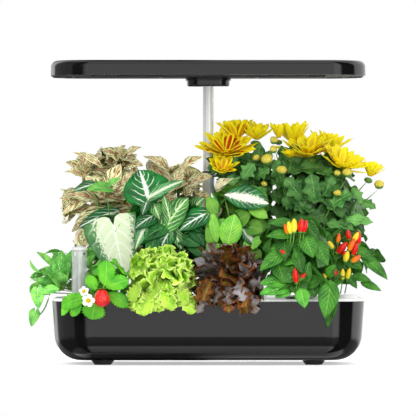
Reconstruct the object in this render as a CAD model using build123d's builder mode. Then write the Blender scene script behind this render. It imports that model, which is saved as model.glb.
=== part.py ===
from build123d import *
from dataclasses import dataclass
import os

os.makedirs("parts", exist_ok=True)

# ---------------------------------------------------------------- driving sizes, in mm
# reservoir tank
tank_length = 396.0
tank_depth = 210.0
tank_corner = 50.0
tank_bottom = 6.0
tank_rim = 81.0
tank_wall = 2.5
tank_draft = 4.0
tank_bottom_round = 33.0

# four feet under the tank
foot_end_inset = 64.0
foot_side_inset = 57.0
foot_top_radius = 15.0
foot_base_radius = 10.5
foot_pin_radius = 4.0
foot_pin_length = 1.4
foot_pin_side_gap = 0.4
foot_pin_end_gap = 0.3
foot_sole_rim = 4.0
foot_sole_depth = 1.2
foot_x = tank_length / 2 - foot_end_inset
foot_y = tank_depth / 2 - foot_side_inset

# planting deck that closes the tank
deck_inset = 1.0
deck_thickness = 3.5
deck_edge_round = 1.4
skirt_depth = 7.0
skirt_wall = 1.6
skirt_clearance = 0.7
deck_top = tank_rim + deck_thickness

# net baskets, 3 rows of 4
column_pitch = 80.0
row_pitch = 62.0
basket_flange_radius = 21.0
basket_flange_thickness = 1.6
basket_top_radius = 18.0
basket_base_radius = 14.0
basket_depth = 38.0
basket_wall = 1.4
basket_hole_clearance = 0.5
basket_slot_width = 4.2
basket_slot_height = 19.0
basket_slot_rise = 5.5
basket_drain_radius = 4.0
seat_ring_gap = 0.6
seat_ring_width = 1.3
seat_ring_height = 1.1

# growing plug in each basket
plug_gap = 0.5
plug_top_drop = 3.1
plug_hole_radius = 3.0
plug_hole_depth = 20.0
stem_root_radius = 2.6
stem_root_depth = 18.0

# telescopic lamp post
post_back_inset = 26.0
post_outer_radius = 8.0
post_outer_bore = 7.4
post_inner_radius = 7.0
post_inner_bore = 6.0
post_running_gap = 0.05
post_socket_gap = 0.3
post_floor = 62.0
post_cup_wall = 2.2
post_cup_floor = 2.0
post_outer_top = 244.0
post_ring_height = 2.6
post_inner_bottom = 112.0
post_base_width = 30.0
post_base_depth = 32.0
post_base_back_inset = 7.0
post_base_height = 20.0
inlet_radius = 2.75
inlet_depth = 8.0
inlet_rise = 9.5
post_y = tank_depth / 2 - post_back_inset
post_base_back = tank_depth / 2 - post_base_back_inset
post_base_front = post_base_back - post_base_depth

# grow lamp
lamp_length = 400.0
lamp_depth = 200.0
lamp_corner = 50.0
lamp_bottom = 367.0
lamp_top = 386.0
lamp_wall = 2.4
lamp_draft = 2.0
lamp_edge_round = 8.0
underplate_rise = 1.0
underplate_thickness = 2.0
underplate_gap = 0.4
window_end_inset = 50.0
window_front_inset = 18.0
window_back_inset = 62.0
window_corner = 8.0
tray_margin = 5.0
tray_floor = 1.5
tray_height = 6.0
tray_wall = 2.0
board_thickness = 1.6
led_columns = 14
led_rows = 6
led_end_inset = 13.5
led_side_inset = 12.5
led_size = 3.6
led_height = 1.0
collar_width = 59.0
collar_depth = 36.0
collar_flange = 4.0
collar_height = 11.5
collar_step = 1.75
collar_skin = 2.0
lamp_screw_end_inset = 25.0
lamp_screw_front_inset = 32.0
lamp_screw_back_inset = 42.0
post_screw_spread = 62.0
post_screw_back_inset = 26.0
lamp_screw_radius = 1.4
lamp_screw_length = 9.0
lamp_screw_head_radius = 2.9
lamp_screw_head_height = 0.9
lamp_screw_gap = 0.3
lamp_boss_radius = 4.2
post_lamp_inset = 21.0
lamp_y = post_y + post_lamp_inset - lamp_depth / 2
window_length = lamp_length - 2 * window_end_inset
window_depth = lamp_depth - window_front_inset - window_back_inset
window_y = lamp_y + (window_front_inset - window_back_inset) / 2

# water gauge
gauge_end_inset = 34.0
gauge_radius = 10.0
gauge_bore = 8.5
gauge_bottom = 16.0
gauge_top = 145.4
gauge_flange_radius = 13.0
gauge_flange_thickness = 2.0
gauge_hole_gap = 0.4
gauge_vent_width = 5.5
gauge_vent_height = 3.4
gauge_vent_drop = 4.6
gauge_inlet_rise = 9.0
gauge_floor = 2.0
gauge_cap_rise = 5.0
gauge_cap_rim = 1.6
gauge_cap_plug = 3.0
gauge_cap_gap = 0.4
float_radius = 8.2
float_bottom = 48.0
float_length = 18.0
float_edge_round = 2.0
rod_radius = 1.3
hook_radius = 3.4
hook_top = 113.0
hook_drop = 14.0
gauge_x = gauge_end_inset - tank_length / 2
gauge_y = -row_pitch / 2

# control panel and its three buttons
panel_end_inset = 22.0
panel_width = 26.0
panel_length = 46.0
panel_lip = 2.0
panel_plate = 1.8
panel_box_gap = 0.5
panel_box_wall = 1.4
panel_box_floor = 75.5
button_pitch = 13.0
button_radius = 3.3
button_running_gap = 0.1
button_rise = 1.5
button_flange_radius = 4.4
button_flange_thickness = 1.4
button_stem_radius = 1.8
button_stem_length = 2.0
panel_x = tank_length / 2 - panel_end_inset

# fill opening and its cap
fill_end_inset = 23.0
fill_panel_gap = 2.0
fill_hole_radius = 12.6
fill_cap_radius = 15.0
fill_cap_height = 4.2
fill_plug_radius = 12.2
fill_plug_depth = 6.0
fill_plug_wall = 1.6
fill_plug_floor = 1.0
fill_dip_width = 7.0
fill_dip_length = 17.0
fill_dip_depth = 2.2
fill_dip_spread = 7.4
fill_x = tank_length / 2 - fill_end_inset
fill_y = -(panel_length / 2 + fill_panel_gap + fill_cap_radius)

# circulation pump
pump_x = column_pitch
pump_y = -row_pitch / 2
pump_width = 40.0
pump_depth = 34.0
pump_bottom = 9.3
pump_height = 29.0
riser_offset = 7.0
riser_radius = 4.5
riser_bore = 3.0
riser_top = 79.5
riser_boss_radius = 7.5
riser_boss_gap = 0.3
riser_boss_depth = 11.0
riser_y = pump_y - riser_offset
spout_radius = 1.8
spout_drop = 19.5
chamber_radius = 11.0
chamber_depth = 14.0
chamber_z = 24.0
axle_radius = 1.2
axle_running_gap = 0.05
impeller_hub = 4.0
impeller_radius = 9.6
impeller_length = 9.5
impeller_blades = 6
blade_thickness = 1.3

columns = [(i - 1.5) * column_pitch for i in range(4)]
rows = [(j - 1) * row_pitch for j in range(3)]
pod_places = [(x, y) for y in rows for x in columns]


# ---------------------------------------------------------------- tank
with BuildPart() as tank_shell:
    with BuildSketch(Plane.XY.offset(tank_rim)):
        RectangleRounded(tank_length, tank_depth, tank_corner)
    extrude(amount=tank_bottom - tank_rim, taper=tank_draft)
    fillet(tank_shell.edges().group_by(Axis.Z)[0], tank_bottom_round)
    with BuildPart(mode=Mode.SUBTRACT) as tank_cavity:
        with BuildSketch(Plane.XY.offset(tank_rim)):
            RectangleRounded(
                tank_length - 2 * tank_wall,
                tank_depth - 2 * tank_wall,
                tank_corner - tank_wall,
            )
        extrude(amount=tank_bottom + tank_wall - tank_rim, taper=tank_draft)
        fillet(
            tank_cavity.edges().group_by(Axis.Z)[0],
            tank_bottom_round - tank_wall,
        )
    # blind sockets that take the pins of the feet
    with BuildSketch(Plane.XY.offset(tank_bottom)):
        with GridLocations(2 * foot_x, 2 * foot_y, 2, 2):
            Circle(foot_pin_radius + foot_pin_side_gap)
    extrude(amount=foot_pin_length + foot_pin_end_gap, mode=Mode.SUBTRACT)
tank_shell.part.label = "tank_shell"
export_step(tank_shell.part, "parts/tank_shell.step")

with BuildPart() as feet:
    for corner_x in (-foot_x, foot_x):
        for corner_y in (-foot_y, foot_y):
            with Locations((corner_x, corner_y, tank_bottom / 2)):
                Cone(foot_base_radius, foot_top_radius, tank_bottom)
            with Locations((corner_x, corner_y, tank_bottom + foot_pin_length / 2)):
                Cylinder(foot_pin_radius, foot_pin_length)
            with Locations((corner_x, corner_y, foot_sole_depth / 2)):
                Cylinder(foot_base_radius - foot_sole_rim, foot_sole_depth, mode=Mode.SUBTRACT)
feet.part.label = "feet"
export_step(feet.part, "parts/feet.step")

# ---------------------------------------------------------------- deck
deck_length = tank_length - 2 * deck_inset
deck_width = tank_depth - 2 * deck_inset
skirt_length = tank_length - 2 * (tank_wall + skirt_clearance)
skirt_width = tank_depth - 2 * (tank_wall + skirt_clearance)
skirt_corner = tank_corner - tank_wall - skirt_clearance

with BuildPart() as deck:
    with BuildSketch(Plane.XY.offset(tank_rim)):
        RectangleRounded(deck_length, deck_width, tank_corner - deck_inset)
    extrude(amount=deck_thickness)
    fillet(deck.edges().group_by(Axis.Z)[-1], deck_edge_round)
    # locating skirt inside the tank wall
    with BuildSketch(Plane.XY.offset(tank_rim)):
        RectangleRounded(skirt_length, skirt_width, skirt_corner)
        RectangleRounded(
            skirt_length - 2 * skirt_wall,
            skirt_width - 2 * skirt_wall,
            skirt_corner - skirt_wall,
            mode=Mode.SUBTRACT,
        )
    extrude(amount=-skirt_depth)
    # raised seat ring round each basket
    with BuildSketch(Plane.XY.offset(deck_top)):
        with Locations(*pod_places):
            Circle(basket_flange_radius + seat_ring_gap + seat_ring_width)
        with Locations(*pod_places):
            Circle(basket_flange_radius + seat_ring_gap, mode=Mode.SUBTRACT)
    extrude(amount=seat_ring_height)
    # blind cup that holds the lamp post
    with BuildSketch(Plane.XY.offset(post_floor - post_cup_floor)):
        with Locations((0, post_y)):
            Circle(post_outer_radius + post_socket_gap + post_cup_wall)
    extrude(amount=tank_rim - post_floor + post_cup_floor)
    # boss that holds the pump riser
    with BuildSketch(Plane.XY.offset(tank_rim - riser_boss_depth)):
        with Locations((pump_x, riser_y)):
            Circle(riser_boss_radius)
    extrude(amount=riser_boss_depth)
    # basket holes
    with BuildSketch(Plane.XY.offset(tank_rim)):
        with Locations(*pod_places):
            Circle(basket_top_radius + basket_hole_clearance)
    extrude(amount=deck_thickness, mode=Mode.SUBTRACT)
    # post bore, riser bore, gauge hole, fill hole and panel window
    with BuildSketch(Plane.XY.offset(post_floor)):
        with Locations((0, post_y)):
            Circle(post_outer_radius + post_socket_gap)
    extrude(amount=deck_top - post_floor, mode=Mode.SUBTRACT)
    with BuildSketch(Plane.XY.offset(tank_rim - riser_boss_depth)):
        with Locations((pump_x, riser_y)):
            Circle(riser_radius + riser_boss_gap)
    extrude(amount=riser_top - tank_rim + riser_boss_depth, mode=Mode.SUBTRACT)
    with BuildSketch(Plane.XY.offset(tank_rim)):
        with Locations((gauge_x, gauge_y)):
            Circle(gauge_radius + gauge_hole_gap)
        with Locations((fill_x, fill_y)):
            Circle(fill_hole_radius)
        with Locations((panel_x, 0)):
            RectangleRounded(panel_width - 2 * panel_lip, panel_length - 2 * panel_lip, 3.0)
    extrude(amount=deck_thickness, mode=Mode.SUBTRACT)
deck.part.label = "deck"
export_step(deck.part, "parts/deck.step")

# ---------------------------------------------------------------- baskets and growing plugs
basket_base = deck_top - basket_depth
basket_slope = (basket_top_radius - basket_base_radius) / basket_depth
plug_base = basket_base + basket_wall
plug_top = deck_top + basket_flange_thickness - plug_top_drop


def make_basket(x, y):
    """One net basket: tapered cup with side slots, base hole and a rim that rests on the deck."""
    with BuildPart() as cup:
        with BuildSketch(Plane.XZ) as half:
            with BuildLine():
                Polyline(
                    (0, basket_base),
                    (basket_base_radius, basket_base),
                    (basket_top_radius, deck_top),
                    (basket_flange_radius, deck_top),
                    (basket_flange_radius, deck_top + basket_flange_thickness),
                    (basket_top_radius - basket_wall, deck_top + basket_flange_thickness),
                    (basket_base_radius - basket_wall, plug_base),
                    (0, plug_base),
                    close=True,
                )
            make_face()
        revolve(axis=Axis.Z)
        with Locations((0, 0, basket_base + basket_slot_rise + basket_slot_height / 2)):
            with PolarLocations(0, 3, 0, 180):
                Box(
                    2 * basket_flange_radius,
                    basket_slot_width,
                    basket_slot_height,
                    mode=Mode.SUBTRACT,
                )
        with Locations((0, 0, basket_base + basket_wall / 2)):
            Cylinder(basket_drain_radius, basket_wall, mode=Mode.SUBTRACT)
    return cup.part.moved(Location((x, y, 0)))


def make_plug(x, y):
    """One growing plug: tapered foam with a blind planting hole."""
    base_radius = basket_base_radius - basket_wall - plug_gap
    top_radius = base_radius + basket_slope * (plug_top - plug_base)
    with BuildPart() as foam:
        with Locations((0, 0, (plug_base + plug_top) / 2)):
            Cone(base_radius, top_radius, plug_top - plug_base)
        with Locations((0, 0, plug_top - plug_hole_depth / 2)):
            Cylinder(plug_hole_radius, plug_hole_depth, mode=Mode.SUBTRACT)
    return foam.part.moved(Location((x, y, 0)))


for number, (pod_x, pod_y) in enumerate(pod_places, start=1):
    basket = make_basket(pod_x, pod_y)
    basket.label = f"basket_{number:02d}"
    export_step(basket, f"parts/basket_{number:02d}.step")
    plug = make_plug(pod_x, pod_y)
    plug.label = f"sponge_{number:02d}"
    export_step(plug, f"parts/sponge_{number:02d}.step")

# ---------------------------------------------------------------- lamp post
post_base_mid = (post_base_front + post_base_back) / 2
inlet_z = deck_top + inlet_rise
with BuildPart() as post_base:
    with BuildSketch(Plane.XY.offset(deck_top)):
        with Locations((0, post_base_mid)):
            RectangleRounded(post_base_width, post_base_back - post_base_front, 6.0)
    extrude(amount=post_base_height)
    fillet(post_base.edges().group_by(Axis.Z)[-1], 2.5)
    with Locations((0, post_y, deck_top + post_base_height / 2)):
        Cylinder(post_outer_radius + post_socket_gap, post_base_height, mode=Mode.SUBTRACT)
    # round socket for the plug of a low-voltage supply, open to the rear
    with BuildSketch(Plane.XZ.offset(-post_base_back)):
        with Locations((0, inlet_z)):
            Circle(inlet_radius)
    extrude(amount=inlet_depth, mode=Mode.SUBTRACT)
post_base.part.label = "post_base"
export_step(post_base.part, "parts/post_base.step")

with BuildPart() as post_outer:
    with BuildSketch(Plane.XY.offset(post_floor)):
        with Locations((0, post_y)):
            Circle(post_outer_radius)
            Circle(post_outer_bore, mode=Mode.SUBTRACT)
    extrude(amount=post_outer_top - post_floor)
post_outer.part.label = "post_outer"
export_step(post_outer.part, "parts/post_outer.step")

with BuildPart() as post_guide_ring:
    with BuildSketch(Plane.XY.offset(post_outer_top)):
        with Locations((0, post_y)):
            Circle(post_outer_radius + 0.2)
            Circle(post_inner_radius + post_running_gap, mode=Mode.SUBTRACT)
    extrude(amount=post_ring_height)
    chamfer(post_guide_ring.edges().group_by(Axis.Z)[-1].sort_by(SortBy.RADIUS)[-1], 0.5)
post_guide_ring.part.label = "post_guide_ring"
export_step(post_guide_ring.part, "parts/post_guide_ring.step")

collar_top = lamp_bottom + underplate_rise
collar_bottom = collar_top - collar_height
post_inner_top = collar_top - collar_skin
with BuildPart() as post_inner:
    with BuildSketch(Plane.XY.offset(post_inner_bottom)):
        with Locations((0, post_y)):
            Circle(post_inner_radius)
            Circle(post_inner_bore, mode=Mode.SUBTRACT)
    extrude(amount=post_inner_top - post_inner_bottom)
post_inner.part.label = "post_inner"
export_step(post_inner.part, "parts/post_inner.step")

# ---------------------------------------------------------------- lamp
corner_screw_x = lamp_length / 2 - lamp_screw_end_inset
front_screw_y = lamp_y - lamp_depth / 2 + lamp_screw_front_inset
back_screw_y = lamp_y + lamp_depth / 2 - lamp_screw_back_inset
post_screw_y = lamp_y + lamp_depth / 2 - post_screw_back_inset
lamp_screw_places = [
    (side * screw_x, screw_y)
    for screw_x, screw_y in (
        (corner_screw_x, front_screw_y),
        (corner_screw_x, back_screw_y),
        (post_screw_spread, post_screw_y),
    )
    for side in (-1, 1)
]

with BuildPart() as lamp_collar:
    with BuildSketch(Plane.XY.offset(collar_top)):
        with Locations((0, post_y)):
            SlotOverall(collar_width, collar_depth)
    extrude(amount=-collar_flange)
    with BuildSketch(Plane.XY.offset(collar_top - collar_flange)):
        with Locations((0, post_y)):
            SlotOverall(collar_width - 2 * collar_step, collar_depth - 2 * collar_step)
    extrude(amount=collar_flange - collar_height, taper=4.0)
    fillet(lamp_collar.edges().group_by(Axis.Z)[0], 2.0)
    with BuildSketch(Plane.XY.offset(collar_bottom)):
        with Locations((0, post_y)):
            Circle(post_inner_radius + post_socket_gap)
    extrude(amount=post_inner_top - collar_bottom, mode=Mode.SUBTRACT)
lamp_collar.part.label = "lamp_collar"
export_step(lamp_collar.part, "parts/lamp_collar.step")

underplate_bottom = lamp_bottom + underplate_rise
underplate_top = underplate_bottom + underplate_thickness
with BuildPart() as lamp_housing:
    with BuildSketch(Plane.XY.offset(lamp_bottom)):
        with Locations((0, lamp_y)):
            RectangleRounded(lamp_length, lamp_depth, lamp_corner)
    extrude(amount=lamp_top - lamp_bottom, taper=lamp_draft)
    fillet(lamp_housing.edges().group_by(Axis.Z)[-1], lamp_edge_round)
    with BuildPart(mode=Mode.SUBTRACT) as lamp_cavity:
        with BuildSketch(Plane.XY.offset(lamp_bottom)):
            with Locations((0, lamp_y)):
                RectangleRounded(
                    lamp_length - 2 * lamp_wall,
                    lamp_depth - 2 * lamp_wall,
                    lamp_corner - lamp_wall,
                )
        extrude(amount=lamp_top - lamp_wall - lamp_bottom, taper=lamp_draft)
        fillet(lamp_cavity.edges().group_by(Axis.Z)[-1], lamp_edge_round - lamp_wall)
    # screw bosses under the top skin
    with BuildSketch(Plane.XY.offset(underplate_top)):
        with Locations(*lamp_screw_places):
            Circle(lamp_boss_radius)
            Circle(lamp_screw_radius + lamp_screw_gap, mode=Mode.SUBTRACT)
    extrude(amount=lamp_top - lamp_wall / 2 - underplate_top)
lamp_housing.part.label = "lamp_housing"
export_step(lamp_housing.part, "parts/lamp_housing.step")

with BuildPart() as lamp_underplate:
    with BuildSketch(Plane.XY.offset(underplate_bottom)):
        with Locations((0, lamp_y)):
            RectangleRounded(
                lamp_length - 2 * (lamp_wall + underplate_gap),
                lamp_depth - 2 * (lamp_wall + underplate_gap),
                lamp_corner - lamp_wall - underplate_gap,
            )
        with Locations((0, window_y)):
            RectangleRounded(window_length, window_depth, window_corner, mode=Mode.SUBTRACT)
        with Locations(*lamp_screw_places):
            Circle(lamp_screw_radius + lamp_screw_gap, mode=Mode.SUBTRACT)
    extrude(amount=underplate_thickness)
lamp_underplate.part.label = "lamp_underplate"
export_step(lamp_underplate.part, "parts/lamp_underplate.step")

tray_length = window_length + 2 * tray_margin
tray_depth = window_depth + 2 * tray_margin
with BuildPart() as lamp_diffuser:
    with BuildSketch(Plane.XY.offset(underplate_top)):
        with Locations((0, window_y)):
            RectangleRounded(tray_length, tray_depth, 6.0)
    extrude(amount=tray_height)
    with BuildSketch(Plane.XY.offset(underplate_top + tray_floor)):
        with Locations((0, window_y)):
            RectangleRounded(tray_length - 2 * tray_wall, tray_depth - 2 * tray_wall, 4.0)
    extrude(amount=tray_height, mode=Mode.SUBTRACT)
lamp_diffuser.part.label = "lamp_diffuser"
export_step(lamp_diffuser.part, "parts/lamp_diffuser.step")

board_bottom = underplate_top + tray_height
led_pitch_x = (window_length - 2 * led_end_inset) / (led_columns - 1)
led_pitch_y = (window_depth - 2 * led_side_inset) / (led_rows - 1)
with BuildPart() as lamp_led_board:
    with BuildSketch(Plane.XY.offset(board_bottom)):
        with Locations((0, window_y)):
            RectangleRounded(tray_length, tray_depth, 6.0)
    extrude(amount=board_thickness)
lamp_led_board.part.label = "lamp_led_board"
export_step(lamp_led_board.part, "parts/lamp_led_board.step")

with BuildPart() as lamp_leds:
    with BuildSketch(Plane.XY.offset(board_bottom)):
        with Locations((0, window_y)):
            with GridLocations(led_pitch_x, led_pitch_y, led_columns, led_rows):
                Rectangle(led_size, led_size)
    extrude(amount=-led_height)
lamp_leds.part.label = "lamp_leds"
export_step(lamp_leds.part, "parts/lamp_leds.step")

with BuildPart() as lamp_screws:
    with BuildSketch(Plane.XY.offset(underplate_bottom)):
        with Locations(*lamp_screw_places):
            Circle(lamp_screw_head_radius)
    extrude(amount=-lamp_screw_head_height)
    with BuildSketch(Plane.XY.offset(underplate_bottom)):
        with Locations(*lamp_screw_places):
            Circle(lamp_screw_radius)
    extrude(amount=lamp_screw_length)
lamp_screws.part.label = "lamp_screws"
export_step(lamp_screws.part, "parts/lamp_screws.step")

# ---------------------------------------------------------------- water gauge
with BuildPart() as gauge_tube:
    with BuildSketch(Plane.XY.offset(gauge_bottom)):
        with Locations((gauge_x, gauge_y)):
            Circle(gauge_radius)
    extrude(amount=gauge_top - gauge_bottom)
    with BuildSketch(Plane.XY.offset(deck_top)):
        with Locations((gauge_x, gauge_y)):
            Circle(gauge_flange_radius)
    extrude(amount=gauge_flange_thickness)
    with BuildSketch(Plane.XY.offset(gauge_bottom + gauge_floor)):
        with Locations((gauge_x, gauge_y)):
            Circle(gauge_bore)
    extrude(amount=gauge_top - gauge_bottom - gauge_floor, mode=Mode.SUBTRACT)
    # ring of vents near the top and water inlets at the bottom
    for vent_z in (gauge_top - gauge_vent_drop, gauge_bottom + gauge_inlet_rise):
        with Locations((gauge_x, gauge_y, vent_z)):
            with PolarLocations(0, 2, 45, 180):
                Box(
                    2 * gauge_flange_radius,
                    gauge_vent_width,
                    gauge_vent_height,
                    mode=Mode.SUBTRACT,
                )
gauge_tube.part.label = "gauge_tube"
export_step(gauge_tube.part, "parts/gauge_tube.step")

with BuildPart() as gauge_cap:
    with BuildSketch(Plane.XZ):
        with BuildLine():
            cap_top = gauge_top + gauge_cap_rise
            cap_plug_radius = gauge_bore - gauge_cap_gap
            Polyline(
                (0, cap_top),
                (0, gauge_top - gauge_cap_plug),
                (cap_plug_radius, gauge_top - gauge_cap_plug),
                (cap_plug_radius, gauge_top),
                (gauge_radius, gauge_top),
                (gauge_radius, gauge_top + gauge_cap_rim),
            )
            Spline(
                (gauge_radius, gauge_top + gauge_cap_rim),
                (gauge_radius * 0.62, gauge_top + gauge_cap_rise * 0.82),
                (0, cap_top),
                tangents=((-0.25, 1), (-1, 0)),
            )
        make_face()
    revolve(axis=Axis.Z)
gauge_cap_placed = gauge_cap.part.moved(Location((gauge_x, gauge_y, 0)))
gauge_cap_placed.label = "gauge_cap"
export_step(gauge_cap_placed, "parts/gauge_cap.step")

float_top = float_bottom + float_length
rod_foot = float_top - float_edge_round
hook_spring = hook_top - rod_radius - hook_radius
with BuildPart() as float_stem:
    with Locations((gauge_x, gauge_y, (float_bottom + float_top) / 2)):
        Cylinder(float_radius, float_length)
    fillet(float_stem.edges().group_by(Axis.Z)[-1], float_edge_round)
    fillet(float_stem.edges().group_by(Axis.Z)[0], float_edge_round)
    # rod and its rounded hook, bent from one round section
    with BuildLine() as rod_line:
        Line(
            (gauge_x - hook_radius, gauge_y, rod_foot),
            (gauge_x - hook_radius, gauge_y, hook_spring),
        )
        ThreePointArc(
            (gauge_x - hook_radius, gauge_y, hook_spring),
            (gauge_x, gauge_y, hook_top - rod_radius),
            (gauge_x + hook_radius, gauge_y, hook_spring),
        )
        Line(
            (gauge_x + hook_radius, gauge_y, hook_spring),
            (gauge_x + hook_radius, gauge_y, hook_top - hook_drop),
        )
    with BuildSketch(Plane((gauge_x - hook_radius, gauge_y, rod_foot), z_dir=(0, 0, 1))):
        Circle(rod_radius)
    sweep(path=rod_line.wires()[0])
float_stem.part.label = "float_stem"
export_step(float_stem.part, "parts/float_stem.step")

# ---------------------------------------------------------------- control panel and buttons
button_places = [(panel_x, (k - 1) * button_pitch) for k in range(3)]
panel_top = deck_top + panel_plate
with BuildPart() as control_panel:
    with BuildSketch(Plane.XY.offset(deck_top)):
        with Locations((panel_x, 0)):
            RectangleRounded(panel_width, panel_length, 5.0)
    extrude(amount=panel_plate)
    fillet(control_panel.edges().group_by(Axis.Z)[-1], 0.8)
    box_width = panel_width - 2 * (panel_lip + panel_box_gap)
    box_length = panel_length - 2 * (panel_lip + panel_box_gap)
    with BuildSketch(Plane.XY.offset(deck_top)):
        with Locations((panel_x, 0)):
            RectangleRounded(box_width, box_length, 2.5)
    extrude(amount=panel_box_floor - deck_top)
    with BuildSketch(Plane.XY.offset(panel_box_floor + panel_box_wall)):
        with Locations((panel_x, 0)):
            RectangleRounded(box_width - 2 * panel_box_wall, box_length - 2 * panel_box_wall, 1.2)
    extrude(amount=deck_top - panel_box_floor - panel_box_wall, mode=Mode.SUBTRACT)
    with BuildSketch(Plane.XY.offset(deck_top)):
        with Locations(*button_places):
            Circle(button_radius + button_running_gap)
    extrude(amount=panel_plate, mode=Mode.SUBTRACT)
control_panel.part.label = "control_panel"
export_step(control_panel.part, "parts/control_panel.step")

button_labels = ("button_light", "button_timer", "button_pump")
button_top = panel_top + button_rise
stem_mid = deck_top - button_flange_thickness - button_stem_length / 2
for (button_x, button_y), button_label in zip(button_places, button_labels):
    with BuildPart() as button:
        with Locations((button_x, button_y, (deck_top + button_top) / 2)):
            Cylinder(button_radius, button_top - deck_top)
        fillet(button.edges().group_by(Axis.Z)[-1], 0.6)
        with Locations((button_x, button_y, deck_top - button_flange_thickness / 2)):
            Cylinder(button_flange_radius, button_flange_thickness)
        with Locations((button_x, button_y, stem_mid)):
            Cylinder(button_stem_radius, button_stem_length)
    button.part.label = button_label
    export_step(button.part, f"parts/{button_label}.step")

# ---------------------------------------------------------------- fill cap
with BuildPart() as fill_cap:
    with Locations((fill_x, fill_y, deck_top + fill_cap_height / 2)):
        Cylinder(fill_cap_radius, fill_cap_height)
    fillet(fill_cap.edges().group_by(Axis.Z)[-1], 1.4)
    with Locations((fill_x, fill_y, deck_top - fill_plug_depth / 2)):
        Cylinder(fill_plug_radius, fill_plug_depth)
    with Locations((fill_x, fill_y, deck_top - fill_plug_depth / 2 - fill_plug_floor)):
        Cylinder(fill_plug_radius - fill_plug_wall, fill_plug_depth, mode=Mode.SUBTRACT)
    # two finger dips that leave a grip bar between them
    for side in (-1, 1):
        with Locations((fill_x + side * fill_dip_spread, fill_y, deck_top + fill_cap_height)):
            Box(fill_dip_width, fill_dip_length, 2 * fill_dip_depth, mode=Mode.SUBTRACT)
fill_cap.part.label = "fill_cap"
export_step(fill_cap.part, "parts/fill_cap.step")

# ---------------------------------------------------------------- pump
pump_front = pump_y - pump_depth / 2
cut_clearance = 1.0
pump_corner_radius = 6.0
pump_edge_radius = 3.0
riser_seat_depth = 2.0
axle_recess = 1.5
riser_floor = 6.0
riser_roof = 2.0
with BuildPart() as pump_body:
    with BuildSketch(Plane.XY.offset(pump_bottom)):
        with Locations((pump_x, pump_y)):
            RectangleRounded(pump_width, pump_depth, pump_corner_radius)
    extrude(amount=pump_height)
    fillet(pump_body.edges().group_by(Axis.Z)[-1], pump_edge_radius)
    with BuildSketch(Plane.XY.offset(pump_bottom + pump_height - riser_seat_depth)):
        with Locations((pump_x, riser_y)):
            Circle(riser_radius)
    extrude(amount=riser_top - pump_bottom - pump_height + riser_seat_depth)
    # impeller chamber open to the front, with its axle
    with BuildSketch(Plane.XZ.offset(-pump_front + cut_clearance)):
        with Locations((pump_x, chamber_z)):
            Circle(chamber_radius)
    extrude(amount=-chamber_depth - cut_clearance, mode=Mode.SUBTRACT)
    with BuildSketch(Plane.XZ.offset(-pump_front - chamber_depth)):
        with Locations((pump_x, chamber_z)):
            Circle(axle_radius)
    extrude(amount=chamber_depth - axle_recess)
    # water way up the riser with a spout hole through its side
    with BuildSketch(Plane.XY.offset(chamber_z + riser_floor)):
        with Locations((pump_x, riser_y)):
            Circle(riser_bore)
    extrude(amount=riser_top - riser_roof - chamber_z - riser_floor, mode=Mode.SUBTRACT)
    with Locations(Location((pump_x, riser_y, riser_top - spout_drop), (90, 0, 0))):
        Cylinder(spout_radius, 3 * riser_radius, mode=Mode.SUBTRACT)
pump_body.part.label = "pump_body"
export_step(pump_body.part, "parts/pump_body.step")

impeller_inset = 2.0
impeller_front = pump_front + impeller_inset
with BuildPart() as pump_impeller:
    with BuildSketch(Plane.XZ.offset(-impeller_front)):
        with Locations((pump_x, chamber_z)):
            Circle(impeller_hub)
            with PolarLocations(impeller_radius / 2, impeller_blades):
                Rectangle(impeller_radius, blade_thickness)
            Circle(axle_radius + axle_running_gap, mode=Mode.SUBTRACT)
    extrude(amount=-impeller_length)
pump_impeller.part.label = "pump_impeller"
export_step(pump_impeller.part, "parts/pump_impeller.step")

# ---------------------------------------------------------------- plants
@dataclass
class Crown:
    """One elliptical level of a plant's crown, placed from the deck and the pod's axis."""

    rise: float
    x: float
    y: float
    half_width: float
    half_depth: float


@dataclass
class Frond:
    """A flat oval of leaves or petals that faces the front, from the same places."""

    x: float
    rise: float
    half_width: float
    half_height: float
    front: float
    back: float
    tilt: float = 0.0


@dataclass
class Fruit:
    """A tapered fruit, thick at its foot, from the same places."""

    x: float
    y: float
    rise: float
    radius: float
    length: float
    lean: float = 0.0


@dataclass
class Shoot:
    """A leafy shoot that tapers out of the crown, leaning to the right and to the front."""

    x: float
    y: float
    rise: float
    foot_radius: float
    tip_radius: float
    length: float
    lean: float = 0.0
    pitch: float = 0.0


@dataclass
class Bloom:
    """A flower head that opens upward like a bowl, on a stalk that reaches into the crown."""

    x: float
    y: float
    rise: float
    radius: float
    height: float
    stalk: float
    lean: float = 0.0
    pitch: float = 0.0


stem_radius = 4.5
bloom_foot_radius = 4.0
bloom_stalk_radius = 2.5
overhang_gap = 1.5


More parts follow.
